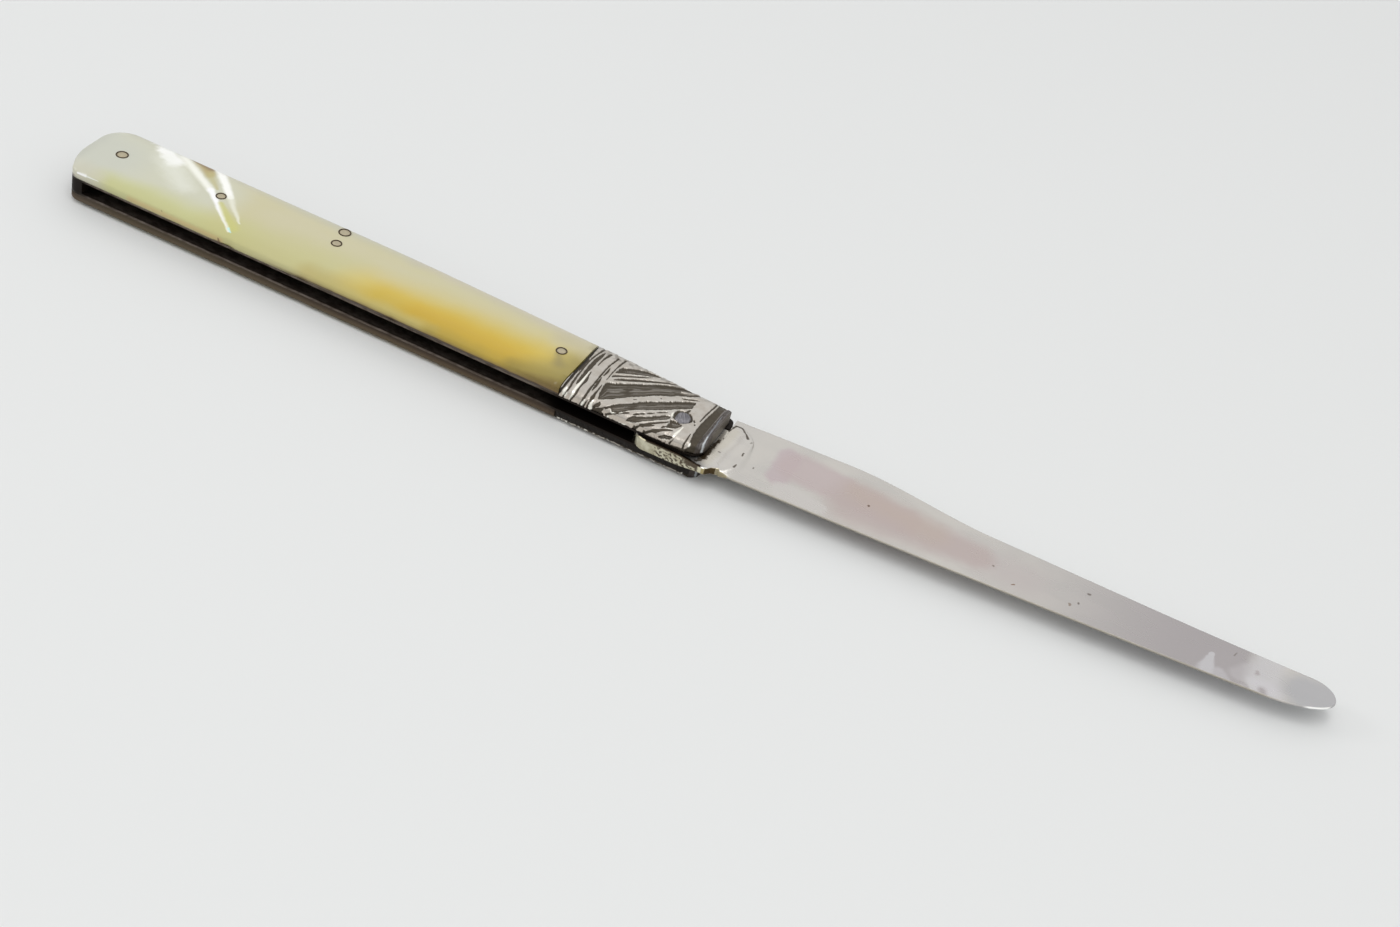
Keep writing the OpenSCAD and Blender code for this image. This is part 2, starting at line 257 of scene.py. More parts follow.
# Floor, lamps and world, in metres
stage = {
    "floorSize": 6.0,
    "floorColour": (0.80, 0.81, 0.805),
    "floorRough": 0.9,
    "floorShine": 0.1,
    "skyAmount": 0.6,
    "skyColour": (1.0, 1.0, 1.0),
    # colours that the camera and the metal see, from the horizon up to a given rise
    "seenLow": (0.80, 0.81, 0.80),
    "seenHigh": (0.98, 0.98, 0.97),
    "seenRise": 0.6,
    # name, place, size, watts, and whether metal mirrors it
    "lamps": [
        ("keyLamp", (-0.2, 0.9, 0.8), 1.6, 1.6, False),
        ("nearLamp", (0.1, -0.5, 0.9), 0.8, 2.6, False),
        ("topLamp", (0.02, -0.05, 0.75), 0.3, 0.65, True),
        ("leftLamp", (-0.9, -0.22, 0.46), 0.24, 1.0, True),
    ],
}


def makeFloor():
    half = stage["floorSize"] / 2
    data = bpy.data.meshes.new("floor")
    corners = [(-half, -half, 0), (half, -half, 0), (half, half, 0), (-half, half, 0)]
    data.from_pydata(corners, [], [(0, 1, 2, 3)])
    floor = bpy.data.objects.new("floor", data)
    scene.collection.objects.link(floor)
    f = Finish("paleFloor")
    f.set(colour=(*stage["floorColour"], 1), rough=stage["floorRough"],
          specular=stage["floorShine"])
    data.materials.append(f.material)


def makeLamps():
    for name, place, size, watts, mirrored in stage["lamps"]:
        data = bpy.data.lights.new(name, "AREA")
        data.shape = "DISK"
        data.size = size
        data.energy = watts
        lamp = bpy.data.objects.new(name, data)
        scene.collection.objects.link(lamp)
        lamp.matrix_world = turnedTo(Vector(place), Vector())
        lamp.visible_glossy = mirrored


def makeWorld():
    world = bpy.data.worlds.new("studio")
    world.use_nodes = True
    scene.world = world
    w = Nodes(world.node_tree)
    w.tree.nodes.clear()
    light = w.add("ShaderNodeBackground", {"Color": (*stage["skyColour"], 1),
                                           "Strength": stage["skyAmount"]})
    height = w.axes(w.add("ShaderNodeTexCoord").outputs["Generated"])["Z"]
    rise = w.add("ShaderNodeMapRange", {"Value": height, "From Max": stage["seenRise"]})
    shade = w.mix(rise.outputs["Result"], (*stage["seenLow"], 1), (*stage["seenHigh"], 1))
    seen = w.add("ShaderNodeBackground", {"Color": shade})
    ray = w.add("ShaderNodeLightPath").outputs
    direct = w.math("MAXIMUM", ray["Is Camera Ray"], ray["Is Glossy Ray"])
    direct = w.math("MAXIMUM", direct, ray["Is Transmission Ray"])
    both = w.add("ShaderNodeMixShader", {0: direct, 1: light.outputs[0], 2: seen.outputs[0]})
    w.add("ShaderNodeOutputWorld", {"Surface": both.outputs[0]})


makeFloor()
makeLamps()
makeWorld()
scene.view_settings.view_transform = "Standard"
print("camera and stage are in place")


# Mesh helpers; points are in millimetres

def addMesh(name, points, faces, material, caps):
    # the last faces, as many as there are caps, are shaded flat
    data = bpy.data.meshes.new(name)
    data.from_pydata((np.asarray(points, float) * mm).tolist(), [], faces)
    data.validate()
    data.materials.append(material)
    data.shade_smooth()
    for face in list(data.polygons)[len(data.polygons) - caps:]:
        face.use_smooth = False
    piece = bpy.data.objects.new(name, data)
    scene.collection.objects.link(piece)
    return piece


def tubeFaces(rows, count):
    # rows of closed loops with count points each
    faces = []
    for a in range(0, (rows - 1) * count, count):
        b = a + count
        for i in range(count):
            j = (i + 1) % count
            faces.append((a + i, a + j, b + j, b + i))
    return faces


def cappedTube(rows, count):
    # the two end caps come last
    last = (rows - 1) * count
    return tubeFaces(rows, count) + [tuple(range(count))[::-1], tuple(range(last, last + count))]


def flipped(faces):
    return [face[::-1] for face in faces]


def storeValues(piece, **values):
    # a value for each point, which the material reads by its name
    for label, numbers in values.items():
        layer = piece.data.attributes.new(label, "FLOAT", "POINT")
        layer.data.foreach_set("value", np.ravel(numbers).astype(np.float32))


def smoothStep(low, high, value):
    t = np.clip((value - low) / (high - low), 0, 1)
    return t * t * (3 - 2 * t)


def softCurve(points, steps=5):
    # Catmull-Rom through the points, each with any number of values
    pts = [np.asarray(p, float) for p in points]
    pts = [2 * pts[0] - pts[1]] + pts + [2 * pts[-1] - pts[-2]]
    out = []
    for a, b, c, d in zip(pts, pts[1:], pts[2:], pts[3:]):
        for k in range(steps):
            t = k / steps
            out.append(0.5 * (2 * b + (c - a) * t + (2 * a - 5 * b + 4 * c - d) * t * t
                              + (3 * b - a - 3 * c + d) * t ** 3))
    out.append(pts[-2])
    return np.array(out)


def lineDistance(x, y, line):
    # distance of each point to a polyline, and the third value of the line there
    best = np.full(x.shape, 1e9)
    value = np.zeros(x.shape)
    for a, b in zip(line[:-1], line[1:]):
        run = b[:2] - a[:2]
        t = np.clip(((x - a[0]) * run[0] + (y - a[1]) * run[1]) / max(run @ run, 1e-9), 0, 1)
        gap = np.hypot(x - a[0] - t * run[0], y - a[1] - t * run[1])
        near = gap < best
        best = np.where(near, gap, best)
        if len(a) > 2:
            value = np.where(near, a[2] + t * (b[2] - a[2]), value)
    return best, value


def insidePolygon(x, y, ring):
    odd = np.zeros(x.shape, bool)
    for a, b in zip(ring, np.roll(ring, -1, axis=0)):
        crosses = (a[1] > y) != (b[1] > y)
        with np.errstate(divide="ignore", invalid="ignore"):
            at = a[0] + (y - a[1]) * (b[0] - a[0]) / (b[1] - a[1])
        odd ^= crosses & (x < at)
    return odd


def noiseField(x, y, z, scale, seed):
    flat = [noise.noise(Vector((a * scale[0] + seed, b * scale[1] - seed, c)))
            for a, b, c in zip(x.ravel(), y.ravel(), np.broadcast_to(z, x.shape).ravel())]
    return np.array(flat).reshape(x.shape)


# The handle's outline, layers and shoulders, as in the part's source
handle = {
    "bellyFront": -3.75, "bellyButt": -4.15, "front": 4.5, "butt": -90.0,
    "backFront": 6.3, "backShoulder": 7.4, "shoulderAt": -12.0, "backButt": 8.4, "bendAt": -42.0,
    "buttRadius": 3.7, "slantRadius": 9.0, "slantAt": -0.45, "slantEnd": -88.1,
    "cornerRadius": 1.6, "bendRadius": 300, "jointRadius": 0.05,
    "scale": 1.6, "side": 0.85, "shoulder": 2.3,
    "rearScaleTop": 1.6, "frontScaleBottom": 4.0, "top": 5.6,
    "joint": -15.2, "middle": 2.8,
}


def bellyLine(x):
    h = handle
    rise = h["bellyButt"] - h["bellyFront"]
    return h["bellyFront"] + rise * (h["front"] - x) / (h["front"] - h["slantEnd"])


def backLine(x):
    h = handle
    return np.interp(x, [h["butt"], h["bendAt"], h["shoulderAt"], h["front"]],
                     [h["backButt"], h["backButt"], h["backShoulder"], h["backFront"]])


def onLiner(points, side):
    # side 1 is the front, and side -1 the rear, its mirror image
    level = handle["frontScaleBottom"] if side > 0 else handle["rearScaleTop"]
    return points * np.array([1, 1, side]) + np.array([0, 0, level])


def crown(x, y):
    # height above the liner of the plain handle
    h = handle
    inset = np.minimum(y - bellyLine(x), backLine(x) - y)
    t = 1 - np.clip(inset / h["shoulder"], 0, 1)
    return h["side"] + (h["scale"] - h["side"]) * np.sqrt(np.clip(1 - t * t, 0, 1))


# Worn ornament of the bolsters. A flute lies between an upper and a lower line,
# and a stroke is a line of x, y and width. The points are where the eye sees them
# against the plane of the top face, and onMetal brings them onto the rounded metal
bolster = {
    "stations": 300, "across": 160, "wallSteps": 10, "crowding": 0.82,
    "fluteDepth": 0.2, "strokeDepth": 0.13, "grooveDepth": 0.19, "recessDepth": 0.22,
    "hatchDepth": 0.05, "lineDepth": 0.05, "wallShare": 0.9,
    "soft": 0.06, "ragged": 0.1, "widen": 0.03, "recess": (-0.1, 0.5, 1.28),
    "jointGap": 0.02, "bellyRadius": 2.2, "backRadius": 1.0, "ridgeAt": (3.4, 3.55),
    # how far the back edge can be seen, and where points beyond it go
    "backRim": 0.17, "backTuck": 0.1, "backDrop": 0.45,
    # waves of the worn edges, and how much stronger they are on each side
    "uneven": 0.08, "backUneven": 1.8, "nearUneven": 1.2,
    # brightness, direction, half width and waves of the streaks in the flutes
    "hatch": 0.5, "streakRun": (0.8, 0.6), "streakWidth": (0.012, 0.05), "streakWave": 0.05,
    # places along the knife, and the share of the near wall's height where it starts to darken
    "dimmingAt": [-0.5, 0.5, 1.5, 2.1, 2.7, 4.5], "dimmingFrom": [1.1, 0.79, 0.61, 0.55, 0.3, 0.15],
    "flutes": [
        ([(-10.9, 3.15), (-10.85, 4.1), (-10.65, 4.75), (-10.35, 4.85), (-9.95, 5.05), (-9.2, 5.5),
          (-8.2, 5.9), (-7.2, 6.1), (-6.2, 6.2), (-5.7, 6.15)],
         [(-10.9, 3.1), (-10, 3.7), (-9, 4.3), (-8, 4.85), (-7, 5.35), (-6.3, 5.75), (-5.7, 6)]),
        ([(-10.2, -3.15), (-10.45, -2.6), (-10.65, -1.8), (-10.8, -0.8), (-10.88, 0.5), (-10, 1.1),
          (-9, 1.9), (-8, 2.65), (-7, 3.35), (-6, 4.1), (-5, 4.9), (-4, 5.4), (-3, 5.75),
          (-2, 5.98), (-1, 6.05), (0.05, 5.95)],
         [(-10.15, -3.15), (-9.6, -2.8), (-9, -2.2), (-8.5, -1.65), (-8, -1.1), (-7.5, -0.5),
          (-7, 0), (-6, 0.95), (-5, 2), (-4, 2.8), (-3, 3.5), (-2.1, 4.3), (-1, 4.95),
          (0.1, 5.75)]),
        ([(-9, -4.4), (-8.6, -3.9), (-8.35, -3.4), (-8.1, -2.9), (-7.7, -2.4), (-7.2, -1.9),
          (-6.7, -1.4), (-6.2, -0.8), (-5.7, -0.2), (-5, 0.5), (-4, 1.3), (-3, 2.1),
          (-2, 2.95), (-1, 3.72), (-0.4, 4.1), (0.05, 4.28)],
         [(-8.95, -4.6), (-8.6, -4.45), (-8.3, -4), (-8.05, -3.85), (-7.85, -4.2), (-7.6, -4.5),
          (-7.2, -4.25), (-6.9, -3.8), (-6.4, -3.1), (-5.9, -2.5), (-5.4, -2), (-5, -1.65),
          (-4, -0.85), (-3, 0), (-2, 0.85), (-1.5, 1.35), (-1, 1.85), (-0.5, 2.25),
          (0.1, 2.85)]),
        ([(-5.5, -4.8), (-5.42, -4), (-5.2, -3.4), (-4.8, -3.25), (-4.4, -2.95), (-4, -2.6),
          (-3.5, -2.1), (-3, -1.6), (-2.6, -1.15), (-2.2, -0.75), (-1.9, -0.5),
          (-1.5, -0.35), (-1.38, -0.55)],
         [(-5.45, -5.05), (-5, -4.85), (-4.4, -4.35), (-4, -3.95), (-3.6, -3.4), (-3, -2.8),
          (-2.5, -2.2), (-2, -1.72), (-1.6, -1.3), (-1.35, -1)]),
        ([(-1.1, -0.95), (-0.4, -0.9), (0.3, -0.9), (0.55, -1.05)],
         [(-1.1, -1), (-1.02, -1.5), (-1.1, -1.9), (-1, -2.3), (-0.9, -2.75), (-0.5, -2.6),
          (-0.1, -2.35), (0.2, -2), (0.45, -1.5), (0.56, -1.1)]),
        ([(-0.92, -5.1), (-0.65, -4.62), (-0.2, -4.3), (0.25, -4.02), (0.55, -4.08)],
         [(-0.9, -5.2), (-0.7, -5.32), (-0.3, -5.3), (0.15, -4.95), (0.5, -4.5), (0.56, -4.15)]),
    ],
    "strokes": [
        [(-15.05, 6.8, 0.2), (-15.1, 5, 0.3), (-15.1, 3, 0.34), (-15, 0, 0.32), (-14.9, -2, 0.3),
         (-14.78, -4, 0.26), (-14.7, -5.7, 0.3)],
        [(-14.85, 3.6, 0.03), (-14.82, 2.5, 0.12), (-14.76, 1, 0.16), (-14.72, 0.3, 0.03)],
        [(-14.1, 6.7, 0.2), (-14.3, 6, 0.22), (-14.45, 5.2, 0.16), (-14.6, 4, 0.16),
         (-14.63, 3, 0.14), (-14.58, 1.5, 0.16), (-14.5, 0, 0.18), (-14.42, -1, 0.2),
         (-14.3, -2.2, 0.24), (-14.15, -3.2, 0.2), (-14.05, -4, 0.16), (-13.97, -5, 0.1),
         (-13.9, -5.7, 0.16)],
        [(-13.8, 5.95, 0.1), (-13.88, 5.2, 0.4), (-14, 4, 0.5), (-14.02, 3, 0.56), (-14, 2, 0.54),
         (-13.95, 1, 0.44), (-13.9, 0, 0.38), (-13.85, -1, 0.32), (-13.8, -1.8, 0.2),
         (-13.8, -2.2, 0.06)],
        [(-13, 6.2, 0.26), (-13.15, 5.5, 0.3), (-13.3, 4.9, 0.2), (-13.35, 4, 0.1),
         (-13.36, 3, 0.04)],
        [(-13.42, 1.2, 0.04), (-13.32, 0.2, 0.14), (-13.15, -0.7, 0.36), (-13.15, -1.4, 0.26),
         (-13.2, -2.2, 0.3), (-13.12, -3.1, 0.3), (-12.98, -4, 0.28), (-12.9, -5, 0.26),
         (-12.85, -5.7, 0.2)],
        [(-11.85, 6.1, 0.2), (-12, 5, 0.16), (-12.15, 4, 0.16), (-12.15, 2, 0.17),
         (-12.08, 0.5, 0.17), (-12, -1, 0.18), (-11.95, -2, 0.22), (-11.85, -3, 0.24),
         (-11.72, -4, 0.26), (-11.6, -5, 0.2), (-11.52, -5.7, 0.2)],
        [(-11.85, 3.45, 0.06), (-11.78, 2.5, 0.24), (-11.8, 1.6, 0.06)],
        [(-11.88, 1.1, 0.06), (-11.75, 0, 0.26), (-11.66, -1, 0.28), (-11.6, -2.2, 0.06)],
        [(-10.9, 6.2, 0.24), (-11.05, 5.5, 0.2), (-11.15, 4.5, 0.16), (-11.2, 3.5, 0.1),
         (-11.18, 2.2, 0.06), (-11.15, 1, 0.04)],
        [(-11.12, -0.3, 0.05), (-11.06, -1.5, 0.16), (-11, -2.5, 0.22), (-10.92, -3.3, 0.42),
         (-10.84, -3.9, 0.3), (-10.78, -4.5, 0.22), (-10.65, -5.2, 0.26),
         (-10.55, -5.7, 0.2)],
        [(-11.15, -4.4, 0.04), (-11.1, -5, 0.14), (-11.05, -5.7, 0.2)],
        [(-9.75, -3.75, 0.2), (-9.7, -4.1, 0.44), (-9.85, -4.6, 0.3), (-9.95, -5.3, 0.3),
         (-9.5, -5.4, 0.4), (-9.1, -5.2, 0.5), (-8.85, -4.7, 0.24)],
        [(-9.9, -5.6, 0.5), (-8.9, -5.65, 0.5), (-8.4, -5.7, 0.3)],
        [(-10.85, 2.15, 0.2), (-10.6, 2.55, 0.34), (-10, 3, 0.3), (-9, 3.7, 0.28), (-8, 4.4, 0.26),
         (-7, 5.12, 0.18), (-6.7, 5.3, 0.04)],
        [(-10.35, 1.75, 0.1), (-9.8, 2.2, 0.42), (-9, 2.75, 0.44), (-8, 3.45, 0.46),
         (-7, 4.12, 0.4), (-6, 4.75, 0.36), (-5, 5.35, 0.32), (-4, 5.8, 0.28),
         (-3.4, 6.05, 0.2)],
        [(-2.35, 4.72, 0.12), (-1.6, 4.95, 0.2), (-0.9, 5.22, 0.2), (-0.3, 5.6, 0.18),
         (0.12, 5.85, 0.14)],
        [(-1.7, 3.95, 0.2), (-1, 4.25, 0.3), (-0.3, 4.65, 0.22), (0.2, 4.9, 0.1)],
        [(-5.25, -3.1, 0.1), (-4.95, -2.75, 0.3), (-4.7, -2.45, 0.14), (-4.45, -2.2, 0.26),
         (-4.2, -2, 0.1)],
        [(-4, -1.8, 0.1), (-3.7, -1.45, 0.26), (-3.35, -1.1, 0.08)],
        [(-3.1, -0.85, 0.08), (-2.75, -0.5, 0.24), (-2.5, -0.25, 0.14), (-2.3, -0.1, 0.22),
         (-2.05, 0.15, 0.08)],
        [(-4.25, -5.1, 0.04), (-4.15, -5.35, 0.2), (-4, -5.9, 0.3)],
        [(-3.95, -5.7, 0.3), (-3.75, -4.9, 0.2), (-3.3, -4, 0.2), (-2.9, -3.45, 0.26),
         (-2.3, -2.75, 0.26), (-1.8, -2.25, 0.24), (-1.05, -1.5, 0.24)],
        [(-3.7, -4.65, 0.2), (-3.2, -4.2, 0.2), (-2.7, -3.75, 0.2), (-2.3, -3.4, 0.06)],
        [(-2.85, -5.2, 0.04), (-2.72, -5.45, 0.22), (-2.6, -5.9, 0.34)],
        [(-2.45, -5.5, 0.3), (-2.1, -4.85, 0.28), (-1.45, -4, 0.34), (-1, -3.45, 0.3),
         (-0.6, -3.1, 0.26), (-0.2, -2.9, 0.16), (0.05, -2.8, 0.06)],
        [(-1.35, -3.1, 0.14), (-1.2, -2.8, 0.26), (-1, -2.5, 0.1)],
        [(-8, -5.5, 0.3), (-7.6, -4.9, 0.26), (-7.3, -4.5, 0.2), (-6.6, -3.8, 0.22),
         (-6.1, -3.35, 0.2), (-5.85, -3.15, 0.06)],
        [(2.45, 6, 0.12), (2.28, 4.9, 0.16), (2.12, 3.2, 0.14), (2.02, 1.1, 0.1)],
        [(2.1, -1.9, 0.04), (2.14, -2.6, 0.12), (2.3, -4.2, 0.14), (2.5, -5.3, 0.16)],
        [(0.83, -4.3, 0.05), (0.82, -4.9, 0.12), (0.8, -5.5, 0.16)],
        [(-0.05, 1.75, 0.2), (0, 2.1, 0.3), (0.05, 2.4, 0.14)],
        [(1.35, 0.75, 0.16), (1.55, 0.5, 0.2)],
        [(1.75, 0.12, 0.14), (1.78, -0.1, 0.1)],
        [(-3.95, 2.25, 0.08), (-3.92, 2.08, 0.1)],
        [(-6.6, -0.35, 0.12), (-6.35, -0.1, 0.1)],
    ],
    "groove": [(3.4, 5.8, 1.2), (3.3, 4.9, 1.25), (3.15, 3.6, 1.2), (3, 2, 1.2), (2.95, 0, 1.24),
               (2.98, -1.4, 1.2), (3.15, -2.6, 1.16), (3.3, -3.6, 1.1),
               (3.4, -4.6, 0.95), (3.4, -5.6, 0.9)],
    "bar": [(-2.4, 5.02, 0.22), (-2, 5.2, 0.28), (-1.2, 5.55, 0.26), (-0.2, 5.98, 0.2)],
    "glints": [
        [(-13.66, 1.2, 0.04), (-13.55, 0, 0.12), (-13.48, -1.2, 0.2), (-13.45, -2.4, 0.26),
         (-13.38, -3.4, 0.26), (-13.24, -4.2, 0.22), (-13.12, -5, 0.12),
         (-13.08, -5.5, 0.06)],
        [(-14.4, -3.6, 0.1), (-14.35, -4.3, 0.28), (-14.22, -4.9, 0.22), (-14.15, -5.3, 0.08)],
        [(-13.82, -4.8, 0.08), (-13.8, -5.4, 0.14)],
        [(-11.45, -4.4, 0.06), (-11.4, -5.1, 0.24), (-11.35, -5.7, 0.26)],
        [(-10.6, -3.8, 0.1), (-10.5, -4.6, 0.26), (-10.35, -5.2, 0.42), (-10.15, -5.6, 0.4)],
        [(-7.65, -5.6, 0.16), (-7.6, -5.75, 0.16)],
        [(0.8, -1.4, 0.06), (0.74, -2.2, 0.16), (0.64, -3, 0.28), (0.6, -3.6, 0.26),
         (0.62, -3.85, 0.1)],
        [(2.82, -3.6, 0.05), (2.9, -4.1, 0.16), (2.95, -4.6, 0.08)],
        [(4.4, -3.1, 0.06), (4.42, -3.8, 0.2), (4.44, -4.4, 0.16)],
        [(-1.42, 0.5, 0.06), (-1.38, 0.1, 0.2), (-1.28, -0.35, 0.08)],
        [(-6.25, -5.8, 0.12), (-5.7, -5.85, 0.14), (-5.2, -5.6, 0.08)],
    ],
    "frontLines": [3.6, 3.74, 3.9, 4.2, 4.38],
    "hatchLines": [(0.14, 0.4), (0.26, 0.8), (0.33, 0.5), (0.45, 1.0), (0.52, 0.8), (0.61, 0.9),
                   (0.7, 0.5), (0.82, 0.7)],
}


def onMetal(line):
    # each point goes back along the line of sight, onto the shoulder or the near wall
    b = bolster
    eyeX, eyeY, eyeZ = viewpoint["place"]
    rise = eyeZ - handle["top"]
    fullDrop = handle["scale"] - handle["side"]
    out = []
    for seenX, seenY, *width in line:
        x = seenX
        for _ in range(3):
            low, high = bellyLine(x), backLine(x)
            rows = np.linspace(low, high - b["backRim"], 1200)
            drops = handle["scale"] - crown(x, rows)
            seen = rows + (eyeY - rows) * drops / (rise + drops)
            if seenY < seen[0]:
                drop = (low - seenY) * rise / (seenY - eyeY)
                y = low - (drop - fullDrop)
            elif seenY > seen.max():
                drop, y = b["backDrop"], high - b["backTuck"] + seenY - seen.max()
            else:
                nearest = np.argmin(np.abs(seen - seenY))
                drop, y = drops[nearest], rows[nearest]
            share = drop / (rise + drop)
            x = (seenX - eyeX * share) / (1 - share)
        out.append((x, y, *width))
    return out


def carved(lines):
    return [softCurve(onMetal(line), 4) for line in lines]


carvedFlutes = [[softCurve(onMetal(line)) for line in pair] for pair in bolster["flutes"]]
carvedStrokes = carved(bolster["strokes"])
carvedGlints = carved(bolster["glints"])
carvedGroove, carvedBar = carved([bolster["groove"], bolster["bar"]])


def ornament(x, y, seed):
    # depth of the worn relief in millimetres, how bright the metal is there, and its glints
    b = bolster
    push = noiseField(x, y, 0.0, (2.2, 2.2), seed) + 0.5 * noiseField(x, y, 2.0, (6, 6), seed)
    rag = b["ragged"] * push
    cut = np.zeros(x.shape)
    hatch = np.zeros(x.shape)
    lip = np.zeros(x.shape)
    chip = smoothStep(-0.3, 0.3, noiseField(x, y, 12.0, (1.6, 1.6), seed))
    for upperLine, lowerLine in carvedFlutes:
        ring = np.concatenate([upperLine, lowerLine[::-1]])
        up, _ = lineDistance(x, y, upperLine)
        low, _ = lineDistance(x, y, lowerLine)
        edge, _ = lineDistance(x, y, np.concatenate([ring, ring[:1]]))
        signed = np.where(insidePolygon(x, y, ring), edge, -edge) + rag
        inside = smoothStep(-b["soft"], b["soft"], signed)
        # streaks run along the flute, at given shares of its width
        runX, runY = b["streakRun"]
        along = runX * x + runY * y
        bounds = []
        for line in (lowerLine, upperLine):
            run = np.maximum.accumulate(runX * line[:, 0] + runY * line[:, 1])
            bounds.append(np.interp(along, run, runX * line[:, 1] - runY * line[:, 0]))
        share = (runX * y - runY * x - bounds[0]) / np.maximum(bounds[1] - bounds[0], 0.1)
        wave = noiseField(along, share, 5.0, (0.5, 1.0), seed)
        streak = np.zeros(x.shape)
        for at, amount in b["hatchLines"]:
            gap = np.abs(share + b["streakWave"] * wave - at)
            broken = noiseField(along, 0 * along, 9.0 + 30 * at, (0.6, 1.0), seed)
            broken = smoothStep(-0.4, 0.0, broken)
            line = 1 - smoothStep(*b["streakWidth"], gap)
            streak = np.maximum(streak, amount * broken * line)
        hatch = np.maximum(hatch, streak * smoothStep(0.02, 0.2, signed))
        # the side towards the belly catches the light
        lip = np.maximum(lip, chip * (1 - smoothStep(0.03, 0.12, np.abs(signed + 0.06)))
                         * (low < up) * smoothStep(0.25, 0.5, up))
        cut = np.maximum(cut, inside * b["fluteDepth"])
    for line in carvedStrokes:
        gap, width = lineDistance(x, y, line)
        inside = smoothStep(-0.06, 0.06, width / 2 + b["widen"] - gap + 0.5 * rag)
        cut = np.maximum(cut, inside * b["strokeDepth"])
    gap, width = lineDistance(x, y, carvedGroove)
    inside = smoothStep(-0.09, 0.09, width / 2 - gap + 0.4 * rag)
    cut = np.maximum(cut, b["grooveDepth"] * inside)
    gap, width = lineDistance(x, y, carvedBar)
    cut = np.where(x < 0.2, cut * (1 - smoothStep(-0.05, 0.05, width / 2 - gap)), cut)
    acrossX, acrossY = x - b["recess"][0], y - b["recess"][1]
    recess = b["recess"][2] + 0.05 * np.cos(5 * np.arctan2(acrossY, acrossX) + 0.6)
    inside = smoothStep(-0.05, 0.05, recess - np.hypot(acrossX, acrossY))
    cut = np.maximum(cut, b["recessDepth"] * inside)
    shine = 0.6 * lip
    for line in carvedGlints:
        gap, width = lineDistance(x, y, line)
        shine = np.maximum(shine, smoothStep(-0.06, 0.06, width / 2 + 0.03 - gap + 0.3 * rag))
    cut = cut * (1 - smoothStep(0.6, 0.9, shine))
    bright = 1 - smoothStep(0.02, 0.1, cut)
    bright = bright * (1 - 0.45 * smoothStep(5.1, 5.9, y) * chip)
    bright = np.maximum(bright, b["hatch"] * hatch)
    band = smoothStep(*b["ridgeAt"], x)
    lines = np.zeros(x.shape)
    for at in b["frontLines"]:
        gap = np.abs(x + 0.08 * push - 0.03 * y - at)
        lines = np.maximum(lines, 1 - smoothStep(0.03, 0.09, gap))
    bright = np.where(band > 0.5, 0.45 - 0.35 * lines + 0.2 * push, bright)
    cut = cut + b["lineDepth"] * lines * band + 0.04 * band
    dents = noiseField(x, y, 7.0, (1.1, 1.1), seed)
    depth = cut - b["hatchDepth"] * hatch - 0.012 * push + 0.02 * dents
    return depth, np.clip(bright, 0, 1), shine * (1 - band)


